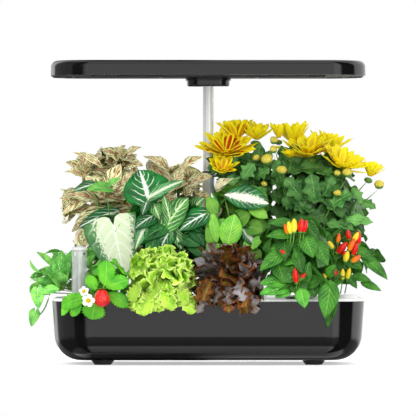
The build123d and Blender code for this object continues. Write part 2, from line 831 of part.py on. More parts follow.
def make_plant(label, pod, crown, fronds=(), fruits=(), shoots=(), blooms=()):
    """One potted plant as a closed solid: root, stem, lofted crown and what grows from it."""
    pod_x, pod_y = pod_places[pod - 1]
    stem_top = deck_top + crown[1].rise
    with BuildPart() as plant:
        with Locations((pod_x, pod_y, plug_top - stem_root_depth / 2)):
            Cylinder(stem_root_radius, stem_root_depth)
        with Locations((pod_x, pod_y, (plug_top + stem_top) / 2)):
            Cylinder(stem_radius, stem_top - plug_top)
        for level in crown:
            with BuildSketch(Plane.XY.offset(deck_top + level.rise)):
                with Locations((pod_x + level.x, pod_y + level.y)):
                    Ellipse(level.half_width, level.half_depth)
        loft()
        for frond in fronds:
            centre = (pod_x + frond.x, deck_top + frond.rise)
            with BuildSketch(Plane.XZ.offset(-pod_y - frond.front)):
                with Locations(Location(centre, frond.tilt)):
                    Ellipse(frond.half_width, frond.half_height)
            extrude(amount=frond.front - frond.back)
        for fruit in fruits:
            middle = deck_top + fruit.rise + fruit.length / 2
            place = Location((pod_x + fruit.x, pod_y + fruit.y, middle), (0, fruit.lean, 0))
            with Locations(place):
                Cone(fruit.radius, fruit.radius * 0.3, fruit.length)
        for shoot in shoots:
            foot = (pod_x + shoot.x, pod_y + shoot.y, deck_top + shoot.rise)
            axis = Location(foot, (shoot.pitch, shoot.lean, 0))
            with Locations(axis * Location((0, 0, shoot.length / 2))):
                Cone(shoot.foot_radius, shoot.tip_radius, shoot.length)
        for bloom in blooms:
            foot = (pod_x + bloom.x, pod_y + bloom.y, deck_top + bloom.rise)
            axis = Location(foot, (bloom.pitch, bloom.lean, 0))
            with Locations(axis * Location((0, 0, bloom.height / 2))):
                Cone(bloom_foot_radius, bloom.radius, bloom.height)
            with Locations(axis * Location((0, 0, bloom.height / 4 - bloom.stalk / 2))):
                Cylinder(bloom_stalk_radius, bloom.stalk + bloom.height / 2)
    plant.part.label = label
    export_step(plant.part, f"parts/{label}.step")


# front row
overhang_back = row_pitch - tank_depth / 2 - overhang_gap
make_plant(
    "plant_strawberry",
    1,
    [
        Crown(8.5, -8, -9, 20, 17),
        Crown(19.5, -9, -19, 27, 29),
        Crown(31.5, -9, -21, 25, 30),
        Crown(43.5, -9, -20, 15, 20),
        Crown(49.5, -9, -19, 9, 12),
    ],
    fronds=[
        Frond(-21, 0.5, 42, 22, -62, overhang_back),
        Frond(-13.5, 1.5, 11, 12, -70, -60),
        Frond(-37, 9.5, 10, 9.5, -67, -60),
        Frond(-30, -4.5, 9, 8.5, -67, -60),
    ],
)
make_plant(
    "plant_green_lettuce",
    2,
    [
        Crown(7.5, -11, -9, 23, 22),
        Crown(18.5, -18, -16, 33, 34),
        Crown(37.5, -19, -18, 38, 40),
        Crown(56.5, -19, -16, 30, 29),
        Crown(67.5, -18, -13, 16, 14),
    ],
    fronds=[Frond(-20, -0.5, 35, 23, -64, overhang_back)],
)
make_plant(
    "plant_red_lettuce",
    3,
    [
        Crown(7.5, -9, -9, 23, 22),
        Crown(18.5, -16, -16, 32, 34),
        Crown(38.5, -18, -18, 38, 40),
        Crown(59.5, -18, -16, 30, 29),
        Crown(71.5, -18, -13, 16, 14),
    ],
    fronds=[Frond(-19, -4.5, 35, 30, -64, overhang_back)],
)
make_plant(
    "plant_pepper_front",
    4,
    [
        Crown(9.5, -2, -4, 17, 17),
        Crown(33.5, -8, -12, 40, 36),
        Crown(60.5, -10, -15, 44, 41),
        Crown(87.5, -11, -12, 36, 34),
        Crown(104.5, -12, -8, 18, 18),
    ],
    fronds=[
        Frond(-12, 7.5, 39, 34, -61, overhang_back),
        Frond(37, -11.5, 14, 27, -52, overhang_back - 0.5, 18),
    ],
    fruits=[
        Fruit(-28, -50, 67.5, 5.5, 22, -12),
        Fruit(-2, -52, 63.5, 5.5, 24, 8),
    ],
)

# middle row
make_plant(
    "plant_syngonium",
    5,
    [
        Crown(9.5, -18, 3, 30, 13),
        Crown(22.5, -40, 5, 53, 20),
        Crown(36.5, -50, 6, 58, 22),
        Crown(51.5, -63, 6, 34, 18),
        Crown(61.5, -66, 6, 18, 10),
    ],
    fronds=[
        Frond(-96, -0.5, 12, 35, -12, 24),
        Frond(-6, 67, 26, 38, -16, -5),
        Frond(-21, 99, 26, 12.5, -9, 8, 10),
        Frond(-14, 146, 22, 11.5, -5, 9),
    ],
    shoots=[
        Shoot(-2, 2, 5, 7, 4, 140, -4),
        Shoot(8, 4, 20, 9, 5, 78, 4),
        Shoot(-18, 4, 20, 11, 6, 85, -4),
    ],
)
make_plant(
    "plant_caladium",
    6,
    [
        Crown(7.5, 0, 0, 9, 9),
        Crown(37.5, -7, 0, 38, 24),
        Crown(83.5, -10, 0, 46, 28),
        Crown(130.5, -11, 0, 42, 26),
        Crown(165.5, -14, 0, 18, 13),
    ],
)
make_plant(
    "plant_dieffenbachia",
    7,
    [
        Crown(7.5, 0, 0, 9, 9),
        Crown(39.5, -2, 0, 31, 24),
        Crown(83.5, -1, 0, 37, 28),
        Crown(123.5, 1, 0, 34, 26),
        Crown(151.5, 5, 0, 17, 13),
    ],
)
make_plant(
    "plant_pepper_right",
    8,
    [
        Crown(10.5, 8, 0, 20, 12),
        Crown(28.5, 26, 0, 42, 20),
        Crown(46.5, 36, 0, 52, 27),
        Crown(66.5, 37, 0, 50, 26),
        Crown(81.5, 32, 0, 36, 20),
        Crown(89.5, 28, 0, 20, 12),
    ],
    fruits=[
        Fruit(45, -18, 68.5, 5.5, 24, -10),
        Fruit(62, -16, 66.5, 5.5, 24, 12),
    ],
    shoots=[Shoot(66, -6, 60, 13, 5, 42, 104)],
)

# back row
make_plant(
    "plant_nerve_left",
    9,
    [
        Crown(7.5, 0, 0, 9, 9),
        Crown(45.5, -4, 8, 32, 27),
        Crown(92.5, -14, 16, 44, 40),
        Crown(122.5, -17, 19, 47, 43),
        Crown(146.5, -12, 18, 38, 34),
        Crown(160.5, -10, 17, 24, 22),
    ],
    shoots=[
        Shoot(2, 6, 128, 24, 9, 66, 6, 6),
        Shoot(-26, 12, 126, 20, 8, 56, -16),
        Shoot(-6, 30, 126, 22, 10, 58, -4, -14),
        Shoot(-38, 4, 104, 17, 7, 36, -58),
        Shoot(18, 8, 120, 16, 7, 38, 18),
    ],
)
make_plant(
    "plant_nerve_right",
    10,
    [
        Crown(7.5, 0, 0, 9, 9),
        Crown(50.5, -3, -2, 26, 20),
        Crown(100.5, -4, -2, 33, 25),
        Crown(132.5, -4, -2, 33, 25.5),
        Crown(152.5, -4, -2, 24, 19),
    ],
    shoots=[
        Shoot(-14, -4, 130, 16, 6, 46, -22),
        Shoot(6, -2, 130, 16, 6, 50, 10),
        Shoot(-4, 6, 130, 15, 7, 44, 0, -10),
    ],
)
make_plant(
    "plant_chrysanthemum_left",
    11,
    [
        Crown(7.5, 0, 0, 9, 9),
        Crown(60.5, 3, 0, 24, 20),
        Crown(115.5, 5, 1, 31, 27),
        Crown(150.5, 5, 1, 31, 28),
        Crown(171.5, 3, 1, 22, 21),
    ],
    fronds=[Frond(-18, 191.5, 35, 29, -29.5, -17)],
    blooms=[
        Bloom(11, 2, 194, 25, 33.5, 40),
        Bloom(-3, 7, 184, 21, 32, 30, -10, -8),
    ],
)
make_plant(
    "plant_chrysanthemum_right",
    12,
    [
        Crown(7.5, 0, 0, 9, 9),
        Crown(50.5, 6, 6, 34, 27),
        Crown(95.5, 20, 14, 52, 40),
        Crown(135.5, 28, 18, 58, 45),
        Crown(158.5, 20, 16, 46, 39),
        Crown(170.5, 14, 14, 28, 25),
    ],
    shoots=[Shoot(58, 4, 98, 15, 6, 46, 78)],
    blooms=[
        Bloom(14, 2, 170, 36, 45, 30, 0, 6),
        Bloom(-6, 18, 190, 24, 36, 40, -8),
        Bloom(40, 0, 160, 28, 37, 30, 26, 6),
        Bloom(36, 34, 168, 28, 41, 30, 14, -8),
        Bloom(-15, -4, 168, 14, 24, 30, -12, 6),
        Bloom(84, 6, 150, 15, 22, 36, 26),
    ],
)
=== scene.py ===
"""Looks of a countertop hydroponic garden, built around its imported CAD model."""

import logging
import math
import random
from dataclasses import dataclass, field
from enum import Enum
from itertools import accumulate
from typing import Callable, Optional, Sequence

import bmesh
import bpy
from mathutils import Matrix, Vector, noise


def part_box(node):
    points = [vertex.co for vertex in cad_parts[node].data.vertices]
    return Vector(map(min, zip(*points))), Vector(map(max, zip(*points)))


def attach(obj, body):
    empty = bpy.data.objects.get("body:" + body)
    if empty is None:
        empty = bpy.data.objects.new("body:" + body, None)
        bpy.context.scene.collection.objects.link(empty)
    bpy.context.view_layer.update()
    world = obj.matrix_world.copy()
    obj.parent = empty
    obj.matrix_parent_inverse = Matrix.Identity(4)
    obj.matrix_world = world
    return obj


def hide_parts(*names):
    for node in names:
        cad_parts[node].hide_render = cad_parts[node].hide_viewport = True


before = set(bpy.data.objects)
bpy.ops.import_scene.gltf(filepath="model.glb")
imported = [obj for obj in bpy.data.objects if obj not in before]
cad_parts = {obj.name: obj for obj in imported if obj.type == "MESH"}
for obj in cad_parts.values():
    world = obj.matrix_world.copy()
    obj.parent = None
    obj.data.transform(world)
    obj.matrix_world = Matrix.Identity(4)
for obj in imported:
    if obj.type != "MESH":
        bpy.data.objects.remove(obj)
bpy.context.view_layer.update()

log = logging.getLogger("garden")

MM = 0.001
TAU = 2.0 * math.pi
GOLDEN_TURN = math.radians(137.508)
UP = Vector((0.0, 0.0, 1.0))
FRONT = Vector((0.0, -1.0, 0.0))
WHITE = (1.0, 1.0, 1.0)
# numbers of Blender's sockets that share a name with others on their node
SCALE_FACTOR = 3
MIX_FIRST, MIX_SECOND, MIX_COLOUR = 6, 7, 2
MIX_LOW, MIX_HIGH = 2, 3

Three = tuple[float, float, float]
Colour = Three
Place = Callable[[float, float], Vector]
Socket = bpy.types.NodeSocket
Material = bpy.types.Material


def srgb(red: int, green: int, blue: int) -> Colour:
    """Turns a screen colour into the linear colour that a shader takes.

    Args:
        red: its red, 0 to 255.
        green: its green, 0 to 255.
        blue: its blue, 0 to 255.

    Returns:
        The linear colour.
    """
    return tuple(
        c / 12.92 if c <= 0.04045 else ((c + 0.055) / 1.055) ** 2.4
        for c in (red / 255, green / 255, blue / 255)
    )


def at(x: float, y: float, z: float) -> Vector:
    """Gives a place or a way."""
    return Vector((x, y, z))


def node_box(node: str) -> tuple[Vector, Vector]:
    """Gives a CAD node's lowest and highest corners in millimetres."""
    low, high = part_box(node)
    return low / MM, high / MM


def lerp(first: float, second: float, share: float) -> float:
    """Gives the value that lies a share of the way from first to second."""
    return first + (second - first) * share


def smooth(low: float, high: float, value: float) -> float:
    """Gives 0 below low, 1 above high and an even rise between them."""
    share = min(1.0, max(0.0, (value - low) / (high - low)))
    return share * share * (3.0 - 2.0 * share)


def add_object(name: str, data: bpy.types.ID) -> bpy.types.Object:
    """Puts new data into the scene as an object.

    Args:
        name: the object's name.
        data: its mesh, light or camera.

    Returns:
        The new object.
    """
    made = bpy.data.objects.new(name, data)
    bpy.context.scene.collection.objects.link(made)
    return made


# ---------- finishes
class Graph:
    """A node tree, with short ways to add and join its nodes."""

    def __init__(self, tree: bpy.types.NodeTree) -> None:
        """Starts on a tree, with a node for the surface's own coordinates."""
        self.nodes, self.links = tree.nodes, tree.links
        self.source = self.nodes.new("ShaderNodeTexCoord").outputs

    def feed(self, node: bpy.types.Node, socket: object, value: object) -> None:
        """Fills one socket with a value, or joins another node's output to it.

        Args:
            node: the node that is fed.
            socket: name or number of its input.
            value: a number, a vector, a colour or another node's output.
        """
        target = node.inputs[socket]
        if isinstance(value, Socket):
            self.links.new(value, target)
        elif target.type == "RGBA":
            target.default_value = (*value[:3], 1.0)
        else:
            target.default_value = value

    def add(self, kind: str, inputs: Optional[dict] = None, **settings: object) -> Sequence[Socket]:
        """Adds one node.

        Args:
            kind: Blender's name of the node, without its first words.
            inputs: values or outputs for its sockets.
            settings: values for its properties.

        Returns:
            The new node's outputs.
        """
        node = self.nodes.new("ShaderNode" + kind)
        for name, value in settings.items():
            setattr(node, name, value)
        for socket, value in (inputs or {}).items():
            self.feed(node, socket, value)
        return node.outputs

    def math(self, operation: str, first: object, second: object = 0.0) -> Socket:
        """Adds one sum of two values and gives its output."""
        return self.add("Math", {0: first, 1: second}, operation=operation)[0]

    def times(self, first: object, second: object) -> Socket:
        """Multiplies two values."""
        return self.math("MULTIPLY", first, second)

    def swing(self, pattern: object, middle: float, reach: float) -> Socket:
        """Lets a value swing about its middle with a pattern, over the whole reach."""
        return self.math("ADD", self.times(pattern, reach), middle - reach / 2)

    def step(self, value: object, low: float, high: float) -> Socket:
        """Gives 0 where the value is at low, 1 where it is at high, smoothly between."""
        sockets = {0: value, 1: low, 2: high}
        return self.add("MapRange", sockets, interpolation_type="SMOOTHSTEP")[0]

    def fade(self, value: object, low: float, high: float) -> Socket:
        """Gives 1 where the value is at low, 0 where it is at high, smoothly between."""
        return self.math("SUBTRACT", 1.0, self.step(value, low, high))

    def mix(self, factor: object, first: object, second: object) -> Socket:
        """Mixes two colours by a factor and gives the mixed colour."""
        sockets = {0: factor, MIX_FIRST: first, MIX_SECOND: second}
        return self.add("Mix", sockets, data_type="RGBA")[MIX_COLOUR]

    def scale(self, colour: object, factor: object) -> Socket:
        """Makes a colour brighter or darker by a factor."""
        return self.add("VectorMath", {0: colour, SCALE_FACTOR: factor}, operation="SCALE")[0]

    def noise(self, scale: float, detail: float = 3.0, rough: float = 0.55,
              source: str = "Object", stretch: Optional[tuple] = None) -> Socket:
        """Adds a cloudy pattern.

        Args:
            scale: how many of its lumps fit in a metre, or in a leaf on the leaf's own map.
            detail: how many finer patterns lie on it.
            rough: how strong the finer patterns are.
            source: the coordinates that it follows.
            stretch: factors on these coordinates.

        Returns:
            Its value, 0 to 1.
        """
        vector = self.source[source]
        if stretch:
            vector = self.add("Mapping", {0: vector, 3: stretch})[0]
        inputs = {"Vector": vector, "Scale": scale, "Detail": detail, "Roughness": rough}
        return self.add("TexNoise", inputs)[0]

    def bump(self, height: object, strength: float, depth: float) -> Socket:
        """Gives a surface normal that rises and falls with height, by a depth in millimetres."""
        return self.add("Bump", {
            "Strength": strength, "Distance": depth * MM, "Height": height})[0]


class Surface(Graph):
    """The node graph of one material."""

    def __init__(self, name: str) -> None:
        """Starts a material with its usual surface shader.

        Args:
            name: the material's name.
        """
        self.material = bpy.data.materials.new(name)
        self.material.use_nodes = True
        super().__init__(self.material.node_tree)
        self.shader = self.nodes["Principled BSDF"]

    def set(self, **sockets: object) -> None:
        """Fills sockets of the surface shader, with _ in their names for a space."""
        for name, value in sockets.items():
            self.feed(self.shader, name.replace("_", " "), value)

    def blade(self) -> tuple[Socket, Socket]:
        """Reads a leaf's own measures from its map.

        Returns:
            The way out, 0 at its midrib and 1 at its edge, and the way along, 0 to 1.
        """
        parts = self.add("SeparateXYZ", {0: self.source["UV"]})
        half = self.math("ABSOLUTE", self.math("SUBTRACT", parts[0], 0.5))
        return self.times(half, 2.0), parts[1]

    def tint(self) -> Socket:
        """Gives the tint that each leaf carries on its points."""
        return self.add("Attribute", attribute_name="tint")["Fac"]


class Finish:
    """One look, whose own class fills in its surface."""

    name: str

    def build(self) -> Material:
        """Makes the material.

        Returns:
            The material.
        """
        graph = Surface(self.name)
        self.fill(graph)
        return graph.material


@dataclass(frozen=True)
class PlasticFinish(Finish):
    """Moulded plastic or rubber with a faint texture."""

    name: str
    colour: Colour
    roughness: float = 0.3
    grain: float = 0.1
    grain_scale: float = 900.0
    glow: float = 0.0
    cloud_scale: float = 35.0
    dulled: float = 0.86
    roughness_swing: float = 0.08
    grain_depth: float = 0.2

    def fill(self, graph: Surface) -> None:
        """Fills the sockets of the surface.

        Args:
            graph: the nodes of its material.
        """
        cloud = graph.noise(self.cloud_scale, 2.0)
        grain = graph.noise(self.grain_scale, 2.0)
        graph.set(
            Base_Color=graph.mix(cloud, graph.scale(self.colour, self.dulled), self.colour),
            Roughness=graph.swing(cloud, self.roughness, self.roughness_swing),
            Normal=graph.bump(grain, self.grain, self.grain_depth),
        )
        if self.glow:
            graph.set(Emission_Color=self.colour, Emission_Strength=self.glow)


@dataclass(frozen=True)
class MetalFinish(Finish):
    """Drawn metal with fine lines along its length; where it is almost unmetallic, as on the post,
    its pale colour and coarse darker streaks are a painted reflection of polished metal.
    """

    name: str
    colour: Colour
    roughness: float = 0.25
    lines: float = 0.08
    metallic: float = 1.0
    streaks: float = 1800.0
    dark_streak_and_reflection: float = 0.9
    line_stretch: Three = (1.0, 1.0, 0.001)
    roughness_swing: float = 0.1
    line_depth: float = 0.1

    def fill(self, graph: Surface) -> None:
        """Fills the sockets of the surface.

        Args:
            graph: the nodes of its material.
        """
        drawn_lines_and_reflection_bands = graph.noise(self.streaks, 2.0, stretch=self.line_stretch)
        dark = graph.scale(self.colour, self.dark_streak_and_reflection)
        graph.set(
            # darker streaks: the drawn lines, and on the post a painted reflection of polished
            # metal
            Base_Color=graph.mix(graph.step(drawn_lines_and_reflection_bands, 0.35, 0.65), dark, self.colour),
            Metallic=self.metallic,
            Roughness=graph.swing(drawn_lines_and_reflection_bands, self.roughness, self.roughness_swing),
            Normal=graph.bump(drawn_lines_and_reflection_bands, self.lines, self.line_depth),
        )


@dataclass(frozen=True)
class ClearFinish(Finish):
    """Clear moulded plastic, seen as a pale skin with bright streaks."""

    name: str
    colour: Colour
    alpha: float
    roughness: float = 0.08
    metallic: float = 0.0
    flow_scale: float = 60.0
    flow_stretch: Three = (1.0, 1.0, 0.15)
    dulled: float = 0.93

    def fill(self, graph: Surface) -> None:
        """Fills the sockets of the surface.

        Args:
            graph: the nodes of its material.
        """
        flow = graph.noise(self.flow_scale, 2.0, stretch=self.flow_stretch)
        graph.set(
            Base_Color=graph.mix(flow, graph.scale(self.colour, self.dulled), self.colour),
            Alpha=self.alpha,
            Metallic=self.metallic,
            Roughness=self.roughness,
            Normal=graph.bump(flow, 0.05, 0.3),
        )


@dataclass(frozen=True)
class FoamFinish(Finish):
    """Damp growing foam, or another spongy skin, with open pores."""

    name: str
    colour: Colour
    deep: Colour
    pore_scale: float = 700.0
    pore_depth: float = 1.2

    def fill(self, graph: Surface) -> None:
        """Fills the sockets of the surface.

        Args:
            graph: the nodes of its material.
        """
        pore_relief_and_shade = graph.noise(self.pore_scale, 4.0, 0.7)
        graph.set(
            # the deep colour fills the low spots of the pore bump: painted shade in the pores
            Base_Color=graph.mix(graph.step(pore_relief_and_shade, 0.35, 0.65), self.deep, self.colour),
            Roughness=0.95,
            Specular_IOR_Level=0.2,
            Normal=graph.bump(pore_relief_and_shade, 0.8, self.pore_depth),
        )


class Veins(Enum):
    """How the veins of a leaf run."""

    FEATHER = "from the midrib to the edge"
    NET = "from the midrib, joined by a net of small cells"


@dataclass(frozen=True)
class LeafFinish(Finish):
    """A leaf's skin: blade, veins, pale heart and darker patches."""

    name: str
    base: Colour
    deep: Colour
    vein: Colour
    rib: Optional[Colour] = None
    heart: Optional[Colour] = None
    heart_spread: float = 0.5
    heart_speckle: float = 0.6
    heart_fade: float = 0.14
    edge: Optional[Colour] = None
    veins: Veins = Veins.FEATHER
    vein_count: float = 7.0
    vein_slope: float = 0.35
    vein_width: float = 0.07
    vein_strength: float = 0.6
    vein_reach: float = 1.0
    vein_wander: float = 0.1
    net_cells: Three = (1.7, 11.0, 40.0)
    net_line: float = 0.04
    net_strength: float = 0.9
    rib_width: float = 0.06
    rib_strength: float = 0.85
    roughness: float = 0.42
    relief: float = 0.5
    flesh: float = 0.1

    def side_veins(self, graph: Surface, across: Socket, along: Socket) -> Socket:
        """Draws the veins that leave the midrib.

        Args:
            graph: the leaf's node graph.
            across: the way out from the midrib.
            along: the way along the leaf.

        Returns:
            1 on a vein and 0 between the veins.
        """
        wander = graph.noise(9.0, 3.0, source="UV")
        run = graph.math("SUBTRACT", along, graph.times(across, self.vein_slope))
        run = graph.math("ADD", run, graph.times(wander, self.vein_wander))
        cycle = graph.math("PINGPONG", graph.times(run, self.vein_count), 0.5)
        if self.veins is Veins.FEATHER:
            feathers = graph.fade(cycle, 0.0, self.vein_width * 2.5)
            return graph.times(
                feathers, graph.fade(across, 0.55 * self.vein_reach, self.vein_reach))
        wide, tall, apart = self.net_cells
        slanted = graph.add("CombineXYZ", {
            0: graph.times(across, wide), 1: graph.times(run, tall),
            2: graph.times(graph.tint(), apart)})[0]
        cells = graph.add("TexVoronoi", {0: slanted, "Scale": 1.0}, feature="DISTANCE_TO_EDGE")[0]
        net = graph.fade(cells, self.net_line, self.net_line + self.vein_width)
        return graph.math(
            "MAXIMUM", graph.fade(cycle, 0.02, 0.16), graph.times(net, self.net_strength))

    def fill(self, graph: Surface) -> None:
        """Fills the sockets of the surface.

        Args:
            graph: the nodes of its material.
        """
        across, along = graph.blade()
        side = self.side_veins(graph, across, along)
        rib = graph.fade(across, 0.0, self.rib_width)
        patches = graph.noise(70.0, 3.0, 0.6)
        colour = graph.mix(graph.step(patches, 0.3, 0.7), self.deep, self.base)
        if self.heart:
            speckle = graph.times(graph.noise(16.0, 5.0, 0.75, "UV"), self.heart_speckle)
            pale = graph.fade(graph.math("ADD", across, speckle),
                              self.heart_spread, self.heart_spread + self.heart_fade)
            colour = graph.mix(pale, colour, self.heart)
        if self.edge:
            colour = graph.mix(graph.step(across, 0.8, 0.97), colour, self.edge)
        colour = graph.mix(graph.times(side, self.vein_strength), colour, self.vein)
        colour = graph.mix(graph.times(rib, self.rib_strength), colour, self.rib or self.vein)
        lumps = graph.math("SUBTRACT", graph.noise(120.0, 3.0), graph.times(side, 0.6))
        graph.set(
            # the tint scales each leaf's colour: its own random tone, and painted shade on deep and
            # set-back leaves
            Base_Color=graph.scale(colour, graph.tint()),
            Roughness=self.roughness,
            Specular_IOR_Level=0.35,
            Normal=graph.bump(lumps, self.relief, 0.8),
            Subsurface_Weight=self.flesh,
            Subsurface_Radius=(0.7, 1.0, 0.3),
            Subsurface_Scale=3.0 * MM,
        )


@dataclass(frozen=True)
class PetalFinish(Finish):
    """A petal with long fine veins and a flame up its middle where the tint asks for it."""

    name: str
    base: Colour
    foot: Colour
    flame: Colour
    flesh: float = 0.1
    vein_stretch: Three = (1.4, 0.2, 1.0)
    vein_strength: float = 0.22

    def fill(self, graph: Surface) -> None:
        """Fills the sockets of the surface.

        Args:
            graph: the nodes of its material.
        """
        across, along = graph.blade()
        fine = graph.noise(9.0, 2.0, source="UV", stretch=self.vein_stretch)
        colour = graph.mix(graph.step(along, 0.05, 0.6), self.foot, self.base)
        colour = graph.mix(graph.times(fine, self.vein_strength), colour, self.foot)
        middle = graph.fade(across, 0.25, 0.62)
        reach = graph.times(graph.step(along, 0.0, 0.15), graph.fade(along, 0.55, 0.85))
        flame = graph.times(graph.times(middle, reach), graph.tint())
        graph.set(
            Base_Color=graph.mix(flame, colour, self.flame),
            Roughness=0.5,
            Specular_IOR_Level=0.25,
            Normal=graph.bump(fine, 0.2, 0.2),
            Subsurface_Weight=self.flesh,
            Subsurface_Radius=(1.0, 0.8, 0.3),
            Subsurface_Scale=3.0 * MM,
        )


@dataclass(frozen=True)
class FruitFinish(Finish):
    """Shiny fruit skin that turns from one colour at its foot to another at its tip."""

    name: str
    foot: Colour
    tip: Colour
    roughness: float = 0.18
    seed_colour: Optional[Colour] = None
    seed_scale: float = 330.0
    seed_scatter: float = 0.55

    def fill(self, graph: Surface) -> None:
        """Fills the sockets of the surface.

        Args:
            graph: the nodes of its material.
        """
        height = graph.add("SeparateXYZ", {0: graph.source["UV"]})[1]
        blush = graph.math("ADD", height, graph.times(graph.noise(90.0), 0.3))
        colour = graph.mix(graph.step(blush, 0.3, 0.95), self.foot, self.tip)
        relief = graph.noise(60.0, 2.0)
        if self.seed_colour:
            cells = graph.add("TexVoronoi", {
                0: graph.source["Object"], "Scale": self.seed_scale,
                "Randomness": self.seed_scatter})[0]
            colour = graph.mix(graph.fade(cells, 0.16, 0.26), colour, self.seed_colour)
            relief = graph.step(cells, 0.1, 0.45)
        graph.set(
            Base_Color=graph.scale(colour, graph.tint()),
            Roughness=self.roughness,
            Coat_Weight=0.4,
            Coat_Roughness=0.1,
            Normal=graph.bump(relief, 0.35, 0.8),
        )


# ---------- mesh making
# how a leaf bends and waves, in radians and shares, and what welds a seam, in metres
LEAST_BEND = 0.02
FLAT_ON = 0.05
EDGE_POWER = 2.2
SIDE_PHASE = 1.6
FINE_RUFFLE, FINE_RUFFLES, FINE_PHASE = 0.5, 2.3, 2.1
QUILT_SLANT = 0.3
LINE_STEP = 0.02
NO_STALKS_WAY = at(0.31, -0.92, 0.24)
WELD = 1e-6


@dataclass
class Clearance:
    """Keeps a plant's points in its own space and off the garden's hard pieces, in millimetres."""

    pod: Vector
    low: Vector
    high: Vector
    ease: float = 4.0
    stem_room: float = 15.0
    deck_height: float = 88.6
    deck_squeeze: float = 0.015
    wall_gap: float = 1.6
    front_depth: float = 14.0
    end_depth: float = 10.0
    gauge_radius: float = 11.6
    pillars: list[tuple[float, float, float, float]] = field(default_factory=list)

    def __post_init__(self) -> None:
        """Reads the hard pieces' places from the frame."""
        self.tank_low, self.tank_high = node_box("tank_shell")
        # the gauge's box is as wide as its flange, so the tube's own room is given
        for node, gap, lift in (
            ("gauge_tube", None, 8.0), ("post_outer", 1.5, 120.0), ("fill_cap", 2.0, 32.0)
        ):
            low, high = node_box(node)
            middle = (low + high) / 2
            radius = (high.x - low.x) / 2 + gap if gap else self.gauge_radius
            self.pillars.append((middle.x, middle.y, radius, high.z + lift))

    def ease_in(self, value: float, low: float, high: float) -> float:
        """Holds a value between two bounds, with a soft stop at each.

        Args:
            value: the value.
            low: the lower bound.
            high: the upper bound.

        Returns:
            The value that is held.
        """
        if value > high - self.ease:
            over = (value - high + self.ease) / self.ease
            return high - self.ease * math.exp(-over)
        if value < low + self.ease:
            over = (low + self.ease - value) / self.ease
            return low + self.ease * math.exp(-over)
        return value

    def shift(self, ends: Sequence[Vector], margin: float) -> Vector:
        """Finds the move that brings a leaf into the space.

        Args:
            ends: the leaf's ends.
            margin: room that it needs round them.

        Returns:
            The move.
        """
        move = at(0, 0, 0)
        for axis in range(3):
            lowest = min(end[axis] for end in ends) - margin
            highest = max(end[axis] for end in ends) + margin
            move[axis] = max(0.0, self.low[axis] - lowest) - max(0.0, highest - self.high[axis])
        return move

    def keep(self, spot: Vector) -> Vector:
        """Moves one point into free space.

        Args:
            spot: the point.

        Returns:
            Its place clear of the pillars, the tank and the deck.
        """
        x = self.ease_in(spot.x, self.low.x, self.high.x)
        y = self.ease_in(spot.y, self.low.y, self.high.y)
        z = min(spot.z, self.high.z)
        if math.hypot(x - self.pod.x, y - self.pod.y) < self.stem_room:
            return at(x, y, max(z, self.pod.z))
        for pillar_x, pillar_y, radius, top in self.pillars:
            gap = math.hypot(x - pillar_x, y - pillar_y)
            if gap < radius and z < top:
                push = radius / max(gap, 0.1)
                x = pillar_x + (x - pillar_x) * push
                y = pillar_y + (y - pillar_y) * push
        low, high = self.tank_low, self.tank_high
        left, right, front = low.x - self.wall_gap, high.x + self.wall_gap, low.y - self.wall_gap
        if left < x < right and y > front and z < self.deck_height:
            if y < low.y + self.front_depth:
                y = front
            elif x < low.x + self.end_depth:
                x = left
            elif x > high.x - self.end_depth:
                x = right
            else:
                z = lerp(self.deck_height, z, self.deck_squeeze)
        return at(x, y, z)


@dataclass(frozen=True)
class LeafShape:
    """Outline and relief of one kind of leaf, in shares of its length and half width."""

    along: int = 12
    across: int = 8
    peak: float = 0.42
    fullness: float = 1.0
    foot: float = 0.0
    heart: float = 0.0
    teeth: int = 0
    tooth_depth: float = 0.0
    lobes: int = 0
    lobe_depth: float = 0.0
    fold: float = 0.25
    ruffle: float = 0.0
    ruffles: float = 3.0
    quilt: float = 0.0
    quilts: float = 7.0
    heart_bow: float = 0.84

    def width(self, along: float) -> float:
        """Works out how wide the leaf is.

        Args:
            along: a place along it, 0 at its foot and 1 at its tip.

        Returns:
            The share of its half width there.
        """
        power = math.log(0.5) / math.log(self.peak)
        turn = math.pi * (self.foot + (1.0 - self.foot) * along**power)
        width = max(0.0, math.sin(turn)) ** self.fullness
        if self.lobes:
            wave = 0.5 - 0.5 * math.cos(TAU * self.lobes * along)
            width *= 1.0 - self.lobe_depth * (1.0 - wave) * smooth(0.0, 0.2, along)
        if self.teeth:
            tooth = (self.teeth * along) % 1.0
            width *= 1.0 + self.tooth_depth * (tooth - 0.5) * smooth(0.0, 0.15, along)
        return width


